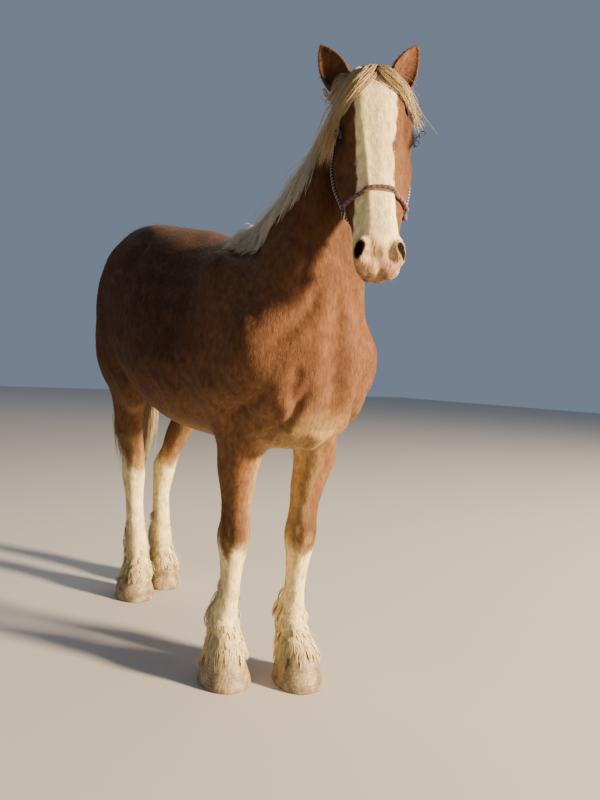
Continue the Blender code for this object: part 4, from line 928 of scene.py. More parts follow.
def unwrapped(points):
    """Each point's place on an unwrap of the skin: round and along the trunk, the head and each leg."""
    local = in_head(points)
    turn = np.arctan2(points[:, 0], points[:, 2] - 1.4) / (2 * math.pi) + 0.5
    made = np.stack((0.02 + 0.46 * turn, 0.02 + 0.9 * (points[:, 1] + 0.75) / 2.4), 1)
    head = (local[:, 2] > -0.31) & (np.abs(local[:, 0]) < 0.17) & (local[:, 1] > -0.3)
    turn = np.arctan2(local[:, 0], local[:, 2] + 0.13) / (2 * math.pi) + 0.5
    made[head] = np.stack((0.52 + 0.45 * turn, 0.02 + 0.4 * (local[:, 1] + 0.32) / 1.1), 1)[head]
    for i, (kind, side) in enumerate(LEG_AXES):
        axis = np.array(LEG_AXES[kind, side])[::-1]
        x, y = (points[:, k] - np.interp(points[:, 2], axis[:, 0], axis[:, k + 1]) for k in (0, 1))
        leg = (points[:, 2] < 0.95) & (np.abs(x) < 0.13) & (np.abs(y) < 0.2)
        leg &= (points[:, 1] < 0.55) == (kind == "fore")
        turn = np.arctan2(x, y) / (2 * math.pi) + 0.5
        made[leg] = np.stack((0.52 + 0.115 * (i + 0.96 * turn), 0.48 + 0.46 * points[:, 2]), 1)[leg]
    return np.clip(made, 0.004, 0.992)


def strands_mesh(name, line, out, width, thick, tones, roots, finish, soft=False):
    """Thin closed strands as one mesh. line is (strand, station, xyz), its last station the tip.

    Soft strands are shaded as the skin under them is, as short hair that lies flat is."""
    count, stations = line.shape[0], line.shape[1] - 1
    run = np.diff(line, axis=1)
    run = unit(np.concatenate((run[:, :1], run[:, :-1] + run[:, 1:]), 1)[:, :stations])
    across = unit(np.cross(out[:, :stations], run))
    over = np.cross(run, across) * thick[..., None]
    half = across * width[..., None] / 2
    base = line[:, :stations]
    rings = np.stack((base - half, base + over, base + half), 2).reshape(count, stations * 3, 3)
    points = np.concatenate((rings, line[:, -1:]), 1)
    each, last = stations * 3 + 1, stations * 3 - 3
    sides = ((0, 1), (1, 2), (2, 0))
    quads = [(k + j, k + 3 + j, k + 3 + n, k + n) for k in range(0, last, 3) for j, n in sides]
    thirds = [(last + j, last + 3, last + n) for j, n in sides] + [(0, 1, 2)]
    loops = np.array([v for face in quads + thirds for v in face])
    sizes = np.array([4] * len(quads) + [3] * len(thirds))
    offsets = np.arange(count)[:, None] * each
    mesh = bpy.data.meshes.new(name)
    mesh.vertices.add(count * each)
    mesh.vertices.foreach_set("co", (points + np.array(SHIFT)).ravel())
    mesh.loops.add(count * len(loops))
    mesh.loops.foreach_set("vertex_index", (loops[None] + offsets).ravel().astype(np.int32))
    mesh.polygons.add(count * len(sizes))
    starts = np.cumsum(np.tile(sizes, count)) - np.tile(sizes, count)
    mesh.polygons.foreach_set("loop_start", starts.astype(np.int32))
    mesh.polygons.foreach_set("use_smooth", np.ones(count * len(sizes), bool))
    mesh.update(calc_edges=True)
    along = np.append(np.repeat(np.arange(stations) / stations, 3), 1.0)
    colours = np.ones((count, each, 4), np.float32)
    root_tone, tip_tone = tones
    colours[:, :, :3] = root_tone[:, None] + (tip_tone - root_tone)[:, None] * along[None, :, None]
    mesh.attributes.new("Coat", "FLOAT_COLOR", "POINT").data.foreach_set("color", colours.ravel())
    side = np.append(np.tile((0.0, 0.5, 1.0), stations), 0.5)
    spread = 0.0028 * np.stack((side, along), 1) - 0.0014
    uv = (unwrapped(roots)[:, None] + spread[None])[:, loops]
    mesh.uv_layers.new(name="OFBake").data.foreach_set("uv", uv.astype(np.float32).ravel())
    if soft:
        facing = np.concatenate((np.repeat(out[:, :stations], 3, 1), out[:, -1:]), 1).reshape(-1, 3)
        mesh.normals_split_custom_set_from_vertices(unit(facing))
    mesh.materials.append(finish)
    return placed(name, mesh)


def sown(skin, count, weight, seed):
    """Points spread over the skin by weight: places, normals, and the draw that goes on."""
    draw = np.random.default_rng(seed)
    mesh = skin.data
    mesh.calc_loop_triangles()
    faces = np.empty(len(mesh.loop_triangles) * 3, np.int32)
    mesh.loop_triangles.foreach_get("vertices", faces)
    faces = faces.reshape(-1, 3)
    points, normals = points_of(skin), normals_of(skin)
    a, b, c = (points[faces[:, k]] for k in range(3))
    area = np.linalg.norm(np.cross(b - a, c - a), axis=1) / 2
    middle = (a + b + c) / 3
    facing = normals[faces].mean(1)
    share = area * weight(middle, facing)
    share = np.cumsum(share) / share.sum()
    chosen = np.searchsorted(share, draw.random(count))
    u, v = draw.random(count), draw.random(count)
    flip = u + v > 1
    u[flip], v[flip] = 1 - u[flip], 1 - v[flip]
    spots = a[chosen] + (b[chosen] - a[chosen]) * u[:, None] + (c[chosen] - a[chosen]) * v[:, None]
    out = normals[faces[chosen]]
    out = out[:, 0] * (1 - u - v)[:, None] + out[:, 1] * u[:, None] + out[:, 2] * v[:, None]
    return spots, unit(out), draw


def tufts(name, skin, count, weight, length, width, rise, seed, finish):
    """Short tufts that lie along the coat, each a thin blade that starts under the skin."""
    roots, out, draw = sown(skin, count, weight, seed)
    count = len(roots)
    way = lie_of(roots, out)
    way = way + np.cross(out, way) * draw.normal(0, 0.16, count)[:, None]
    size = np.clip(draw.normal(1, 0.22, count), 0.5, 1.7)
    long = (length(roots) * size * 1.0)[:, None]
    lift = rise * np.clip(draw.normal(1, 0.5, count), 0.15, 2.6)[:, None]
    line = np.stack((roots - out * long * 0.02, roots + way * long + out * long * (lift - 0.02)), 1)
    wide = (width(roots) * size)[:, None]
    tone = coat_colours(roots, out, draw.normal(0, 0.6, count))
    tone *= np.clip(draw.normal(1, 0.17, count), 0.55, 1.45)[:, None]
    return strands_mesh(name, line, np.repeat(out[:, None], 2, 1), wide, wide * 0.28,
                        (tone * 0.76, tone * 1.4), roots, finish, soft=True)


# Long hair, in strands of 1 to 4 mm, each in place of many hairs that are too fine to show

def combed(tree, start, heading, length, stations, lift, weight, drift, cling, sink=0.01):
    """A line that rises out of the skin and is drawn over it by its own weight."""
    step = length / stations
    nearest, out, _, _ = tree.find_nearest(start)
    heading = (heading - heading.project(out)).normalized()
    points = [nearest - out * sink - heading * step * 0.2]
    faces = [out]
    spot = nearest + out * lift * 0.5 + heading * step * 0.35
    for _ in range(stations):
        nearest, here, _, away = tree.find_nearest(spot)
        height = (spot - nearest).dot(here)
        if away < 0.09:
            if height < lift:
                spot = nearest + here * lift
            elif len(points) > 1:
                spot = spot - here * (height - lift) * cling
            out = (out * 0.6 + here * 0.4).normalized()
        points.append(spot.copy())
        faces.append(out)
        gone = (points[-1] - points[-2]).normalized()
        heading = (heading * 0.5 + gone * 0.5 + Vector((0, 0, -weight)) + drift).normalized()
        spot = spot + heading * step
    return points, faces


def strands_of(clumps, each, spread, widths, seed, frizz, stray, finish, name, tones, soft=False):
    """Turns clump lines into many strands that gather towards each clump's tip."""
    draw = np.random.default_rng(seed)
    clump_lines = np.repeat(np.array([[tuple(p) for p in points] for points, _ in clumps]), each, 0)
    faces = np.repeat(np.array([[tuple(f) for f in out] for _, out in clumps]), each, 0)
    total, stations = clump_lines.shape[:2]
    side = unit(np.cross(faces, unit(np.gradient(clump_lines, axis=1))))
    share = np.linspace(0, 1, stations)
    gather = 1 - 0.62 * share ** 1.3
    wide = draw.normal(0, 1, total)[:, None] * spread * gather
    high = np.abs(draw.normal(0, 1, total))[:, None] * spread * 0.3 * gather * np.minimum(1, share * 6)
    loose = (draw.random(total) < stray)[:, None]
    wave = np.zeros((total, stations, 3))
    for _ in range(2):
        way = draw.normal(0, 1, (total, 3))
        phase, beat = draw.uniform(0, 6.28, (total, 1)), draw.uniform(2.0, 5.5, (total, 1))
        wave += way[:, None] * (np.sin(share * beat + phase) * share)[..., None] * frizz
    wave *= np.where(loose, 3.2, 1.0)[..., None]
    high = high + loose * np.abs(draw.normal(0, 0.012, total))[:, None] * share
    lines = clump_lines + side * wide[..., None] + faces * high[..., None] + wave
    inwards = np.sum((lines - clump_lines) * faces, 2)
    lines += faces * np.maximum(0, -inwards - 0.002)[..., None]
    # each strand ends at its own share of the clump's length
    steps = np.linspace(0, 1, stations)[None] * draw.uniform(0.8, 1.0, total)[:, None] * (stations - 1)
    low = np.minimum(steps.astype(int), stations - 2)
    part = (steps - low)[..., None]
    index = np.arange(total)[:, None]
    lines = lines[index, low] * (1 - part) + lines[index, low + 1] * part
    lines[:, 0] = clump_lines[:, 0] + side[:, 0] * wide[:, :1] * 0.9
    size = draw.uniform(*widths, total)[:, None] * (1 - 0.55 * share[None, :-1] ** 2)
    return strands_mesh(name, lines, faces, size, size * 0.45, tones(lines[:, 0], draw, total),
                        lines[:, 0] + faces[:, 0] * 0.01, finish, soft)


def tones_between(dark, pale, tip, curve=1.0):
    """A way to tone strands: each between dark and pale, and partly paler at its tip."""
    def chosen(_, draw, total):
        pick = draw.random(total)[:, None] ** curve
        base = (dark + (pale - dark) * pick) * draw.uniform(0.85, 1.05, (total, 1))
        return base, base * (1 - tip) + pale * tip
    return chosen


def feather_tones(roots, draw, total):
    base = WHITE_HAIR + (DUSTY_HAIR - WHITE_HAIR) * 0.45 * draw.random(total)[:, None]
    low = 0.45 * past(0.22 - roots[:, 2], 0.1)[:, None]
    return base, base * (1 - low) + DUSTY_HAIR * low


def crest_point(share):
    """A point of the neck's crest, from the withers at 0 to the poll at 1."""
    rows = smooth_rows([row[:3] for row in NECK_ROWS], 8)
    return Vector(row_at(rows, share * (len(rows) - 1)))


def mane_tones(roots, draw, total):
    """Pale grey flaxen down the neck and warmer, darker flaxen near the poll."""
    warm = steps_between(roots[:, 2], 1.96, 2.13)[:, None]
    dark = mixed(FLAXEN_ROOT, FORELOCK_ROOT, warm[:, 0])
    pale = mixed(FLAXEN_PALE, FORELOCK_PALE, warm[:, 0])
    base = (dark + (pale - dark) * draw.random(total)[:, None]) * draw.uniform(0.62, 1.08, (total, 1))
    return base, base * 0.62 + pale * 0.38


def mane(tree, finish, name, lifts, lengths, seed):
    """Clumps rooted along the crest that fall to the horse's right, shorter and swept back at the poll."""
    clumps = []
    count = CLUMPS["mane"]
    for k in range(count):
        along = 0.085 + 0.885 * (k + chance.uniform(0, 1)) / count
        end = float(steps_between(along, 0.55, 0.97))
        start = crest_point(along) + Vector((chance.uniform(-0.048, 0.02) * (1 - 0.6 * end), 0, 0.0))
        length = chance.uniform(*lengths)
        if along < 0.3:
            length *= 0.45 + 1.8 * along
        length *= (1 - 0.72 * end) * chance.uniform(1 - 0.62 * end, 1 + 0.3 * end)
        back = 2.6 * end
        heading = Vector((-1, chance.uniform(-0.1, 0.16) + back, 0.1))
        drift = Vector((0.0, chance.uniform(-0.03, 0.05) + back * 0.12, 0))
        lift = chance.uniform(*lifts) * (1 - 0.7 * end)
        clumps.append(combed(tree, start, heading, length, 11, lift, 0.42, drift, 0.75))
    return strands_of(clumps, 9, 0.008, (0.0016, 0.0034), seed, 0.005, 0.07, finish, name, mane_tones)


# The forelock's inner and outer edges from root to tip, in the head's frame; x is mirrored on the right
FORELOCK_EDGES = {
    RIGHT: (((0.004, -0.035, 0.0), (0.008, 0.03, 0.014), (0.04, 0.09, 0.01), (0.084, 0.145, -0.015),
             (0.126, 0.205, -0.06), (0.152, 0.28, -0.095), (0.168, 0.36, -0.12)),
            ((0.052, -0.045, -0.1), (0.084, -0.005, -0.09), (0.108, 0.04, -0.09), (0.128, 0.1, -0.09),
             (0.146, 0.17, -0.098), (0.166, 0.25, -0.112), (0.182, 0.33, -0.13))),
    LEFT: (((-0.004, -0.035, 0.0), (0.004, 0.03, 0.014), (0.042, 0.084, 0.01), (0.086, 0.126, -0.02),
            (0.122, 0.172, -0.045), (0.15, 0.226, -0.055)),
           ((0.052, -0.045, -0.1), (0.082, -0.01, -0.09), (0.106, 0.036, -0.086), (0.126, 0.092, -0.076),
            (0.146, 0.15, -0.066), (0.164, 0.212, -0.058))),
}


def forelock(tree, finish):
    """Hair rooted between the ears and parted there: most sweeps over the right brow, some over the left."""
    clumps = []
    for k in range(CLUMPS["forelock"]):
        side = RIGHT if k % 9 < 5 else LEFT
        inner, outer = (np.array(smooth_rows(edge, 4)) for edge in FORELOCK_EDGES[side])
        spread, lift = chance.uniform(0, 1), chance.uniform(0.002, 0.016)
        line = inner + (outer - inner) * spread
        reach = chance.uniform(0.66, 1.0) * (len(line) - 1)
        wander = np.array((chance.normal(0, 0.008), chance.normal(0, 0.006), chance.uniform(-0.004, 0.012)))
        root = chance.uniform(-0.004, 0.048)
        points, faces = [], []
        for step in range(13):
            share = step / 12
            x, along, out = row_at(line, share * reach) + wander * (0.3 + share)
            spot = PLACE @ Vector((x * side, along + root * (1 - share) ** 2, out))
            nearest, here, _, _ = tree.find_nearest(spot)
            height = (spot - nearest).dot(here)
            if height < lift:
                spot = nearest + here * lift
            else:
                spot -= here * (height - lift) * 0.8 * float(past(0.055 - height, 0.03))
            points.append(nearest - here * 0.008 if step == 0 else spot)
            faces.append((faces[-1] * 0.6 + here * 0.4).normalized() if faces else here)
        for _ in range(3):
            points[1:-1] = [(a + b * 2 + c) / 4 for a, b, c in zip(points, points[1:], points[2:])]
        clumps.append((points, faces))
    return strands_of(clumps, 9, 0.005, (0.0014, 0.003), 43, 0.005, 0.025, finish, "forelock",
                      tones_between(FORELOCK_ROOT * 0.8, FORELOCK_PALE, 0.45))


# Curls: how far to the left and down the face, radius, turns
CURL_ROWS = ((0.123, 0.262, 0.0125, 1.0), (0.146, 0.226, 0.01, 0.8), (0.133, 0.24, 0.006, 0.7))


def curls(finish):
    """Small curls where the left side of the forelock ends, of five hairs each, dark with painted shade."""
    lines, stations = [], 17
    for x, along, size, turns in CURL_ROWS:
        angles = [math.pi * (0.9 + 2 * turns * i / 16) for i in range(stations)]
        for _ in range(5):
            shift = Vector([chance.normal(0, deviation) for deviation in (0.0006, 0.0006, 0.001)])
            start = shift + Vector((x, along, -0.05))
            ring = [Vector((size * (1 - i / 60) * math.cos(a), size * math.sin(a), i / 2500))
                    for i, a in enumerate(angles)]
            lines.append([tuple(PLACE @ (start + spot)) for spot in ring])
    lines = np.array(lines)
    faces = np.tile(tuple(PLACE.to_3x3() @ Vector((0, 0, 1))), (len(lines), stations, 1))
    size = np.full((len(lines), stations - 1), 0.0012)
    # painted shade: the curls are forelock hair, darkened as it is in shade
    tone = np.tile(DARK_SORREL_AND_SHADE * 0.5, (len(lines), 1))
    return strands_mesh("curls", lines, faces, size, size * 0.6, (tone, tone), lines[:, 0], finish)


def tail(finish):
    """Hair all round the dock that hangs in a long, slightly wavy fall."""
    clumps = []
    rows = np.array(TAIL_ROWS)[::-1]
    for _ in range(CLUMPS["tail"]):
        root = chance.uniform(1.27, 1.6)
        turn = chance.uniform(0, 2 * math.pi)
        wander = chance.uniform(-0.5, 0.5)
        depth = chance.uniform(0.15, 1.0) ** 0.6
        length = min(root - TAIL_END, chance.uniform(0.56, 0.98))
        points, faces = [], []
        sway = chance.uniform(-0.012, 0.012)
        for i in range(13):
            share = i / 12
            height = root - length * share
            y, width, deep = (float(np.interp(height, rows[:, 0], rows[:, k])) for k in (1, 2, 3))
            angle = turn + wander * share
            thinner = 1 - 0.45 * float(past(0.9 - height, 0.32))
            reach = min(1.0, 0.2 + 1.9 * share) * depth * thinner
            out = Vector((math.cos(angle) * width * 0.94, math.sin(angle) * deep * 0.94, 0)) * reach
            points.append(Vector((0, y, height)) + out + Vector((sway * math.sin(share * 5), 0, 0)))
            faces.append(Vector((math.cos(angle) / width, math.sin(angle) / deep, 0.1)).normalized())
        clumps.append((points, faces))
    return strands_of(clumps, 8, 0.008, (0.0022, 0.0044), 47, 0.006, 0.05, finish, "tail_hair",
                      tones_between(TAIL_DARK, TAIL_PALE, 0.35, 1.2))


def feather(tree, finish):
    """Longer hair behind each fetlock, and a skirt of it over the top of the hoof."""
    clumps = []
    for kind, side in LEG_AXES:
        for k in range(CLUMPS["feather"]):
            skirt = k % 3 > 0
            height = chance.uniform(0.118, 0.18) if skirt else 0.185 + 0.21 * chance.random() ** 1.5
            x, y = on_axis(kind, side, height)
            reach = 180 if skirt or height < 0.27 else 110
            turn = math.radians(chance.uniform(-reach, reach))
            out = Vector((math.sin(turn), math.cos(turn), 0))
            start = Vector((x, y, height)) + out * 0.07
            behind = 0.5 + 0.5 * math.cos(turn)
            length = chance.uniform(0.035, 0.055) + 0.055 * behind * (1 if height < 0.32 else 0.55)
            if skirt:
                length = chance.uniform(0.05, 0.078) + 0.02 * behind
            heading = out * (0.55 if skirt else 0.35) + Vector((0, 0.05 + 0.1 * behind, -1))
            drift = Vector((0, 0.05 * behind, 0)) + out * (0.09 if skirt else 0.05)
            lift = chance.uniform(0.001, 0.007)
            clumps.append(combed(tree, start, heading, length, 5, lift, 0.5, drift, 0.5, 0.006))
    return strands_of(clumps, 9, 0.0055, (0.0016, 0.003), 53, 0.0022, 0.05, finish, "feather",
                      feather_tones, True)


# Materials

def node(tree, kind, values):
    """Adds a node. A small-letter key is a setting, any other an input: number, colour or (node, output)."""
    made = tree.nodes.new("ShaderNode" + kind)
    for key, value in values.items():
        if str(key).islower():
            setattr(made, key, value)
        elif isinstance(value, tuple) and hasattr(value[0], "outputs"):
            tree.links.new(value[0].outputs[value[1]], made.inputs[key])
        else:
            made.inputs[key].default_value = value
    return made


def finish_named(name, values):
    made = bpy.data.materials.new(name)
    made.use_nodes = True
    shader = made.node_tree.nodes["Principled BSDF"]
    for key, value in values.items():
        shader.inputs[key].default_value = value
    return made, made.node_tree, shader


def short_coat_finish():
    """Short horse hair over skin: soft sheen, no wet gloss.

    A hair is too fine to show, so streaks 3 and 11 mm wide stand for it, over blotches of 26 mm."""
    made, tree, shader = finish_named("short_horse_hair", {
        "Roughness": 0.72, "Sheen Weight": 0.02, "Sheen Roughness": 0.4, "Specular IOR Level": 0.08,
        "Sheen Tint": (1.0, 0.8, 0.6, 1),
    })
    coat = node(tree, "Attribute", {"attribute_name": "Coat"})
    place = node(tree, "TexCoord", {})
    streak = node(tree, "Mapping", {"Vector": (place, "Object"), "Scale": (1.0, 0.45, 0.35)})
    fine, broad, locks = (
        node(tree, "TexNoise", {"Vector": source, "Scale": scale, "Detail": detail})
        for source, scale, detail in (((streak, "Vector"), 330.0, 3.0), ((place, "Object"), 38.0, 3.0),
                                      ((streak, "Vector"), 95.0, 4.0)))
    shade = node(tree, "MapRange", {
        "Value": (locks, "Fac"), "From Min": 0.3, "From Max": 0.7, "To Min": 0.7, "To Max": 1.3})
    dapple = node(tree, "MapRange", {"Value": (broad, "Fac"), "To Min": 0.84, "To Max": 1.14})
    both = node(tree, "Math", {"operation": "MULTIPLY", 0: (shade, "Result"), 1: (dapple, "Result")})
    tint = node(tree, "VectorMath", {"operation": "SCALE", 0: (coat, "Color"), "Scale": (both, "Value")})
    tree.links.new(tint.outputs["Vector"], shader.inputs["Base Color"])
    total = node(tree, "Math", {"operation": "ADD", 0: (fine, "Fac"), 1: (locks, "Fac")})
    bump = node(tree, "Bump", {"Height": (total, "Value"), "Strength": 0.55, "Distance": 0.0024})
    tree.links.new(bump.outputs["Normal"], shader.inputs["Normal"])
    return made


def long_hair_finish(name, roughness, gloss, sheen):
    """Long coarse horse hair: each strand a little glossy, its tone uneven every 7 mm."""
    made, tree, shader = finish_named(name, {
        "Roughness": roughness, "Specular IOR Level": gloss, "Sheen Weight": sheen, "Sheen Roughness": 0.4,
    })
    coat = node(tree, "Attribute", {"attribute_name": "Coat"})
    place = node(tree, "TexCoord", {})
    fine = node(tree, "TexNoise", {"Vector": (place, "Object"), "Scale": 140.0, "Detail": 2.0})
    shade = node(tree, "MapRange", {"Value": (fine, "Fac"), "To Min": 0.82, "To Max": 1.15})
    tint = node(tree, "VectorMath", {"operation": "SCALE", 0: (coat, "Color"), "Scale": (shade, "Result")})
    tree.links.new(tint.outputs["Vector"], shader.inputs["Base Color"])
    return made


def horn_finish():
    """Pale hoof horn: growth rings about 12 mm apart, and patches of dust about 45 mm across.

    Its upright tubules are too fine to show and are drawn 5 mm apart."""
    made, tree, shader = finish_named("hoof_horn", {"Roughness": 0.52, "Specular IOR Level": 0.4})
    place = node(tree, "TexCoord", {})
    rings = node(tree, "TexWave", {
        "bands_direction": "Z", "Vector": (place, "Object"), "Scale": 26.0, "Distortion": 1.6, "Detail": 2.0})
    tubes = node(tree, "Mapping", {"Vector": (place, "Object"), "Scale": (1.0, 1.0, 0.06)})
    streak = node(tree, "TexNoise", {"Vector": (tubes, "Vector"), "Scale": 190.0, "Detail": 4.0})
    dust = node(tree, "TexNoise", {"Vector": (place, "Object"), "Scale": 22.0, "Detail": 4.0})
    pale = node(tree, "ValToRGB", {"Fac": (streak, "Fac")})
    for stop, at, colour in zip(pale.color_ramp.elements, (0.3, 0.72), ("#7d6a4c", "#bca57c")):
        stop.position = at
        stop.color = (*linear(colour), 1)
    spread = node(tree, "MapRange", {"Value": (dust, "Fac"), "From Min": 0.42, "From Max": 0.66})
    mud = node(tree, "Mix", {
        "data_type": "RGBA", "Factor": (spread, "Result"), 6: (pale, "Color"), 7: (*linear("#6a5a44"), 1)})
    tree.links.new(mud.outputs[2], shader.inputs["Base Color"])
    total = node(tree, "Math", {"operation": "ADD", 0: (rings, "Fac"), 1: (streak, "Fac")})
    bump = node(tree, "Bump", {"Height": (total, "Value"), "Strength": 0.35, "Distance": 0.0018})
    tree.links.new(bump.outputs["Normal"], shader.inputs["Normal"])
    return made


def eye_finish():
    """A wet eye: dark brown iris with a long level pupil, under clear cornea."""
    made, tree, shader = finish_named("wet_eye", {"Roughness": 0.06, "IOR": 1.376, "Coat Weight": 1.0,
                                                  "Coat Roughness": 0.02})
    coat = node(tree, "Attribute", {"attribute_name": "Coat"})
    tree.links.new(coat.outputs["Color"], shader.inputs["Base Color"])
    return made


def cord_finish(name, tone, other):
    """Braided synthetic cord: matte, with a tracer ply of another colour and a grain of about 1 mm."""
    made, tree, shader = finish_named(name, {"Roughness": 0.72, "Sheen Weight": 0.25, "Sheen Roughness": 0.5})
    coat = node(tree, "Attribute", {"attribute_name": "Coat"})
    place = node(tree, "TexCoord", {})
    fibre = node(tree, "TexNoise", {"Vector": (place, "Object"), "Scale": 900.0, "Detail": 2.0})
    mix = node(tree, "Mix", {
        "data_type": "RGBA", "Factor": (coat, "Fac"), 6: (*linear(tone), 1), 7: (*linear(other), 1)})
    shade = node(tree, "MapRange", {"Value": (fibre, "Fac"), "To Min": 0.7, "To Max": 1.25})
    tint = node(tree, "VectorMath", {"operation": "SCALE", 0: (mix, 2), "Scale": (shade, "Result")})
    tree.links.new(tint.outputs["Vector"], shader.inputs["Base Color"])
    bump = node(tree, "Bump", {"Height": (fibre, "Fac"), "Strength": 0.4, "Distance": 0.0006})
    tree.links.new(bump.outputs["Normal"], shader.inputs["Normal"])
    return made


def metal_finish():
    """Nickel-plated steel of a halter fitting, its shine worn dull in spots about 4 mm across."""
    made, tree, shader = finish_named("plated_steel",
                                      {"Base Color": (*linear("#b9b6ae"), 1), "Metallic": 1.0})
    place = node(tree, "TexCoord", {})
    worn = node(tree, "TexNoise", {"Vector": (place, "Object"), "Scale": 260.0, "Detail": 4.0})
    rough = node(tree, "MapRange", {"Value": (worn, "Fac"), "To Min": 0.22, "To Max": 0.48})
    tree.links.new(rough.outputs["Result"], shader.inputs["Roughness"])
    return made


# Eyes, lids, hooves and halter

def painted(obj, colours):
    """Gives each vertex its colour, which the materials read."""
    values = np.ones((len(colours), 4), np.float32)
    values[:, :3] = colours
    obj.data.attributes.new("Coat", "FLOAT_COLOR", "POINT").data.foreach_set("color", values.ravel())


def settled(obj, finish):
    """Moves a piece to the row frame and gives it its finish."""
    obj.data.transform(Matrix.Translation(SHIFT))
    obj.data.materials.clear()
    obj.data.materials.append(finish)
    obj.data.polygons.foreach_set("use_smooth", [True] * len(obj.data.polygons))
    obj.data.update()
    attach(obj, "root")
    return obj


def eye(side, finish):
    """The ball of the eye, its iris and pupil painted from the middle of the opening."""
    ball_of_eye = ball((0, 0, 0), [EYE_RADIUS - 0.0004] * 3, segments=64, turn=EYE_FRAMES[side])
    made = object_from("eye_ball_" + WORD[side], ball_of_eye)
    x, y, z = through(EYE_FRAMES[side].inverted(), points_of(made)).T / EYE_RADIUS
    pupil = np.sqrt((y / 0.42) ** 2 + (x / 0.2) ** 2)
    streaks = (1 + 0.5 * np.sin(np.arctan2(y, x) * 40))[:, None]
    painted(made, layered(np.tile(EYE_WHITE, (len(x), 1)), (
        (IRIS * streaks, (z > 0) * past(0.8 - np.hypot(x, y), 0.1)),
        (PUPIL, (z > 0) * past(1.12 - pupil, 0.2)),
    )))
    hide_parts("eye_" + WORD[side])
    return settled(made, finish)


def lash_hair(finish):
    """Lashes on the upper lids, and feelers on the muzzle."""
    lines, faces = [], []
    draw = np.random.default_rng(61)
    lashes, feelers = 44, 90
    for side in (LEFT, RIGHT):
        turned = EYE_FRAMES[side].to_3x3()
        for _ in range(lashes):
            turn = draw.uniform(-1.15, 1.15)
            across, along = math.cos(turn), math.sin(turn)
            root = EYE_FRAMES[side] @ Vector((across * 0.016, along * 0.0225, 0.0205))
            way = turned @ Vector((across * 0.8, along * 0.7 + 0.25, 1.0)).normalized()
            long = draw.uniform(0.007, 0.012)
            sag = turned @ Vector((-0.004, 0, 0))
            lines.append([tuple(root), tuple(root + way * long * 0.5), tuple(root + way * long + sag)])
            faces.append([tuple(turned @ Vector((1, 0, 0)))] * 3)
    for k in range(feelers):
        side = LEFT if k % 2 else RIGHT
        spot = Vector((side * draw.uniform(0.01, 0.05), draw.uniform(0.63, 0.7), draw.uniform(-0.16, -0.08)))
        way = Vector((side * draw.uniform(0.2, 0.9), draw.uniform(0.1, 0.8), draw.uniform(-0.3, 0.3)))
        long = draw.uniform(0.015, 0.035)
        root, way = PLACE @ spot, PLACE.to_3x3() @ way.normalized() * long
        lines.append([tuple(root), tuple(root + way * 0.6), tuple(root + way + Vector((0, 0, -0.004)))])
        faces.append([tuple(PLACE.to_3x3() @ Vector((0, 0, 1)))] * 3)
    lines, faces = np.array(lines), np.array(faces)
    size = np.full((len(lines), 2), 0.0005)
    tone = np.tile(DARK_SKIN_AND_SHADE * 0.7, (len(lines), 1))
    size[2 * lashes:] = 0.0004
    tone[2 * lashes:] = DUSTY_HAIR * 0.8
    return strands_mesh("lashes", lines, faces, size, size, (tone, tone), lines[:, 0], finish)


def hoof(kind, side, finish):
    """A hoof wall with its ridges, coronet band and worn lower edge."""
    middle_x, middle_y, turn = HOOVES[kind, side]
    levels = [(0.965, 0.0), (0.99, 0.004), (1.0, 0.012)]
    for k in range(1, 12):
        level = k / 11
        swell = 0.004 * math.sin(level * 19) * (1 - level)
        levels.append((1 + (CORONET_SHARE - 1) * level + swell, 0.012 + (HOOF_HEIGHT - 0.014) * level))
    levels += [(CORONET_SHARE - 0.02, HOOF_HEIGHT - 0.0004), (CORONET_SHARE - 0.12, HOOF_HEIGHT)]
    rings = []
    for share, rise in levels:
        level = rise / HOOF_HEIGHT
        ring = []
        for angle in turns_of(64):
            across, along = rounded(angle, 2.2)
            x, y = across * HOOF_HALF_WIDTH * share * 0.985, along * HOOF_HALF_LENGTH * share * 0.985
            ring.append((x, y + HOOF_SET_BACK * level, rise - level * math.tan(CORONET_SLOPE) * y))
        rings.append(ring)
    place = Matrix.Translation((middle_x, middle_y, 0)) @ Matrix.Rotation(math.radians(turn * -side), 4, "Z")
    made = together(f"{kind}_hoof_horn_{WORD[side]}", [bridged(rings)], place)
    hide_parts(f"{kind}_hoof_{WORD[side]}")
    return settled(made, finish)


def core(point):
    """The middle of the head beside a point of the head's frame."""
    return PLACE @ Vector((0, point[1], -0.13))


def laid(tree, guide, height, above=0.05):
    """Lays a line of points of the head frame on the hair, the rope's middle at a height over it."""
    made = []
    for point in guide:
        outside = PLACE @ Vector(point)
        inward = (core((0, max(point[1], 0.03))) - outside).normalized()
        hit, _, _, _ = tree.ray_cast(outside - inward * above, inward)
        made.append(hit - inward * (height + COAT_DEPTH) if hit else outside)
    return made


def seat(tree, guide):
    """Where a knot or ring sits on the hair near a guide point, and the way out of the head there."""
    spot = laid(tree, [guide], 0.004)[0]
    return spot, (spot - core(guide)).normalized()


def both_halves(rows):
    """A rope's whole guide from its right end to its left one; rows run from one end to the middle."""
    rest = rows[:-1] if rows[-1][0] == 0 else rows
    return [(-x, along, out) for x, along, out in rows] + list(rest[::-1])


def even_line(points, spacing):
    """The same line with even steps, as numbers."""
    points = np.array(smooth_rows([tuple(p) for p in points], 6))
    walked = np.concatenate(([0], np.cumsum(np.linalg.norm(np.diff(points, axis=0), axis=1))))
    steps = np.linspace(0, walked[-1], max(8, int(walked[-1] / spacing)))
    return np.stack([np.interp(steps, walked, points[:, k]) for k in range(3)], 1), steps


def cord_frame(line):
    """Two directions across a cord at each point of its line, carried on without twist."""
    run = unit(np.gradient(line, axis=0))
    side = np.cross(run[0], (0.3, 0.2, 0.9))
    sides, others = [], []
    for way in run:
        side = side - way * side.dot(way)
        side /= np.linalg.norm(side)
        sides.append(side)
        others.append(np.cross(way, side))
    return np.array(sides), np.array(others)


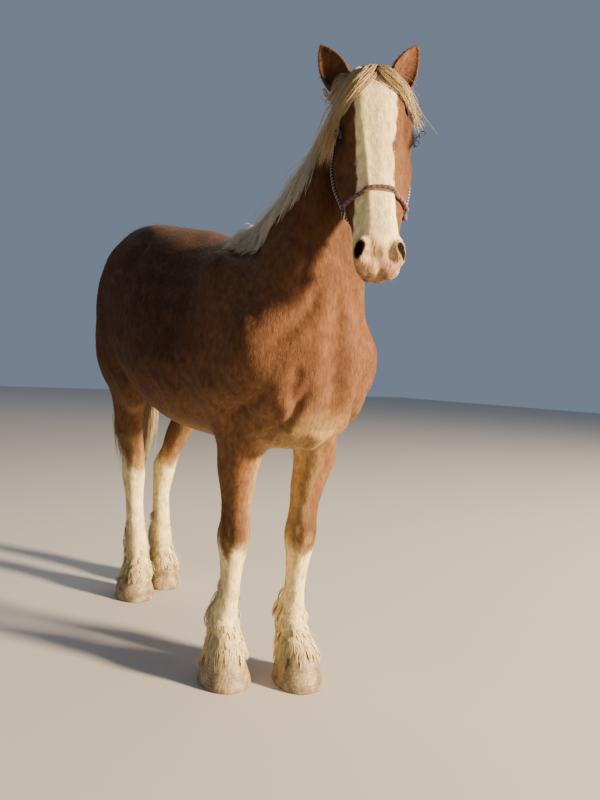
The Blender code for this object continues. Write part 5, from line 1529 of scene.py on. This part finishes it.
def braid(name, points, radius, pitch, plies, sides=7):
    """A plied rope along a line: each ply a thin tube wound round the middle, and the first is the tracer."""
    line, steps = even_line(points, pitch / 7)
    side, other = cord_frame(line)
    thick = radius * (0.6 if plies < 4 else 0.5)
    tones = []
    whole = bmesh.new()
    for ply in range(plies):
        turn = steps / pitch * 2 * math.pi + ply * 2 * math.pi / plies
        reach = radius * 0.5
        middle = line + side * (np.cos(turn) * reach)[:, None] + other * (np.sin(turn) * reach)[:, None]
        across, up = cord_frame(middle)
        shape = bridged([
            [Vector(spot + (x * math.cos(a) + y * math.sin(a)) * thick) for a in turns_of(sides)]
            for spot, x, y in zip(middle, across, up)
        ])
        tones += [float(ply == 0)] * len(shape.verts)
        added(whole, shape)
    made = object_from(name, whole)
    painted(made, np.repeat(np.array(tones)[:, None], 3, 1))
    return made


def torus(centre, facing, radius, thick, around=36, sides=12):
    """A ring: one circle spun round its own axis."""
    shape = bmesh.new()
    bmesh.ops.create_circle(shape, radius=thick, segments=sides, cap_ends=False,
                            matrix=Matrix.Translation((radius, 0, 0)) @ Matrix.Rotation(math.pi / 2, 4, "X"))
    bmesh.ops.spin(shape, geom=shape.verts[:] + shape.edges[:], cent=(0, 0, 0), axis=(0, 0, 1),
                   angle=2 * math.pi, steps=around, use_merge=True)
    bmesh.ops.remove_doubles(shape, verts=shape.verts, dist=1e-6)
    bmesh.ops.recalc_face_normals(shape, faces=shape.faces)
    z = Vector(facing).normalized()
    shape.transform(Matrix.Translation(centre) @ z.to_track_quat("Z", "Y").to_matrix().to_4x4())
    return shape


def knot(name, centre, out, down, size, turns=5):
    """A wrapped knot: tight turns of cord round the meeting ropes, with two short tucked ends."""
    across = out.cross(down).normalized()
    shapes = []
    for k in range(turns):
        step = k - (turns - 1) / 2
        shapes.append(torus(centre + down * step * size * 0.42, down + across * step * 0.16, size * 0.52,
                            size * 0.25, 20, 8))
    for way in (-1, 1):
        shapes.append(torus(centre + across * size * 0.35 * way, across + out * 0.4 * way, size * 0.4,
                            size * 0.23, 20, 8))
    made = together(name, shapes)
    count = len(made.data.vertices)
    tracer = np.sin(np.arange(count) / count * 40) > 0.55
    painted(made, np.repeat(tracer.astype(float)[:, None], 3, 1))
    return made


def halter(tree, rope, dark_rope, steel):
    """Noseband, chin rope, headstall and throat rope, with the ring and the knots."""
    for name, node_name, radius, height, pitch, plies, guide in HALTER_ROPES:
        made = braid(name, laid(tree, smooth_rows(both_halves(guide), 3), height), radius, pitch, plies)
        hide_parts(node_name)
        settled(made, rope if name == "noseband" else dark_rope)
    down = PLACE.to_3x3() @ Vector((0, 1, 0))
    for side in (LEFT, RIGHT):
        spot, out = seat(tree, (side * 0.16, HALTER_LOW + 0.018, -0.1))
        if side == RIGHT:
            ring = together("halter_ring", [torus(spot + out * 0.001, out, 0.015, 0.0024)])
            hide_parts("halter_ring_right")
            settled(ring, steel)
            tied = knot("knot_right", spot - down * 0.018 + out * 0.002, out, down, 0.01)
        else:
            tied = knot("knot_left", spot + out * 0.002, out, down, 0.0115)
            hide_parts("halter_knot_left")
        settled(tied, rope)
        spot, out = seat(tree, (side * 0.15, CHEEK_KNOT_LOW, -0.165))
        tied = knot("cheek_knot_" + WORD[side], spot + out * 0.001, out, down, 0.0095, 4)
        settled(tied, dark_rope)


# Where the tufts of the short coat grow, as a share at points of the horse's frame

def trunk_share(points, _):
    local = in_head(points)
    head = (local[:, 2] > -0.31) & (np.abs(local[:, 0]) < 0.15) & (local[:, 1] > -0.02)
    return np.where(head, 0.0, 1.0) * steps_between(points[:, 2], 0.62, 0.8)


def head_share(points, _):
    across, along, out = in_head(points).T
    inside = (out > -0.31) & (np.abs(across) < 0.22) & (along > -0.26) & (along < 0.64)
    for side in (LEFT, RIGHT):
        inside &= np.linalg.norm(points - np.array(EYE_FRAMES[side].translation), axis=1) >= 0.031
    return inside * 1.0


def leg_share(points, _):
    return past(0.84 - points[:, 2], 0.08) * (1 + 0.8 * past(0.5 - points[:, 2], 0.3))


def ear_inside(points, normals):
    local = in_head(points)
    turned = normals @ TO_HEAD_DIRECTION
    return ((local[:, 1] < -0.01) & (np.abs(local[:, 0]) > 0.06) & (turned[:, 2] > 0.2)) * 1.0


def even(value):
    return lambda points: np.full(len(points), value)


def leg_tuft_length(points):
    return 0.013 + 0.014 * past(0.5 - points[:, 2], 0.3)


# Name, tufts, where they grow, their length, width, lift off the skin and seed
TUFT_ROWS = (
    ("coat_trunk_a", 47000, trunk_share, even(0.017), even(0.0019), 0.045, 71),
    ("coat_trunk_b", 47000, trunk_share, even(0.014), even(0.0015), 0.035, 72),
    ("coat_head", 42000, head_share, even(0.0085), even(0.001), 0.06, 73),
    ("coat_legs", 30000, leg_share, leg_tuft_length, even(0.0018), 0.085, 74),
    ("coat_ears", 1500, ear_inside, even(0.015), even(0.001), 0.55, 75),
)

# The dressed horse

coat_finish = short_coat_finish()
hair_finish = long_hair_finish("flaxen_horse_hair", 0.46, 0.28, 0.05)
tuft_finish = long_hair_finish("short_coat_tufts", 0.75, 0.1, 0.01)
skin = made_skin()
skin.name = "skin"
skin.data.polygons.foreach_set("use_smooth", [True] * len(skin.data.polygons))
tree = tree_of(skin)
painted(skin, coat_colours(points_of(skin), normals_of(skin)))
coat_pieces = [tufts(name, skin, *values, tuft_finish) for name, *values in TUFT_ROWS]
tail_piece = tail(hair_finish)
horn = horn_finish()
hooves = [hoof(kind, side, horn) for kind, side in HOOVES]
hair_pieces = [
    mane(tree, hair_finish, "mane_under", (0.002, 0.01), (0.2, 0.29), 41),
    mane(tree, hair_finish, "mane_over", (0.008, 0.021), (0.22, 0.32), 42),
    forelock(tree, hair_finish), curls(hair_finish),
    feather(tree_with(skin, hooves), tuft_finish), lash_hair(tuft_finish), tail_piece,
]

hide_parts("torso", "neck", "head", "ear_left", "ear_right", "foreleg_left", "foreleg_right",
            "hindleg_left", "hindleg_right")
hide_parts("tail")
settled(skin, coat_finish)
for piece in coat_pieces:
    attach(piece, "root")
for piece in hair_pieces:
    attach(piece, "root")
wet = eye_finish()
for side in (LEFT, RIGHT):
    eye(side, wet)
halter(tree, cord_finish("braided_halter_rope", "#714650", "#29161c"),
       cord_finish("dark_halter_rope", "#3b2027", "#b9a7a0"), metal_finish())

# Floor, light and camera

shape = bmesh.new()
bmesh.ops.create_grid(shape, x_segments=1, y_segments=1, size=30)
ground = object_from("floor", shape)
# Matte painted floor: pale, with almost no shine
ground.data.materials.append(finish_named("pale_floor", {
    "Base Color": (*linear("#c9c6c0"), 1), "Roughness": 0.9, "Specular IOR Level": 0.1,
})[0])

world = bpy.data.worlds.new("soft_room")
world.use_nodes = True
sky = world.node_tree.nodes["Background"].inputs
sky["Color"].default_value = (*linear("#b4c6e0"), 1)
sky["Strength"].default_value = 0.38
bpy.context.scene.world = world


def lamp(name, place, target, size, power, colour):
    """A round soft lamp that faces its target."""
    light = bpy.data.lights.new(name, "AREA")
    light.shape = "DISK"
    light.size = size
    light.energy = power
    light.color = linear(colour)
    made = placed(name, light)
    made.location = place
    made.rotation_euler = (Vector(target) - Vector(place)).to_track_quat("-Z", "Y").to_euler()


lamp("warm_key", (7.5, -10.8, 4.3), (0.0, -0.3, 1.3), 1.7, 9400, "#ffe4be")
lamp("top_soft", (0.8, 2.5, 4.5), (0.0, 0.4, 1.4), 2.0, 45, "#fff0de")

# The photograph's viewpoint: place, turns, and the focal length over the picture's height
VIEWPOINT = Vector((-1.245, -1.984, 1.177))
YAW, PITCH, ROLL = 0.60458, -0.0384, 0.0492
SENSOR, FOCAL_SHARE = 36.0, 622.5 / 800
forward = Vector((math.sin(YAW) * math.cos(PITCH), math.cos(YAW) * math.cos(PITCH), math.sin(PITCH)))
level = forward.cross(Vector((0, 0, 1))).normalized()
upright = level.cross(forward)
right = level * math.cos(ROLL) + upright * math.sin(ROLL)
up = upright * math.cos(ROLL) - level * math.sin(ROLL)
camera = placed("camera", bpy.data.cameras.new("camera"))
camera.data.sensor_width = SENSOR
camera.data.lens = SENSOR * FOCAL_SHARE
camera.data.clip_end = 100
turned = Matrix((right, up, -forward)).transposed().to_4x4()
camera.matrix_world = Matrix.Translation(VIEWPOINT + SHIFT) @ turned
bpy.context.scene.camera = camera
bpy.context.view_layer.update()
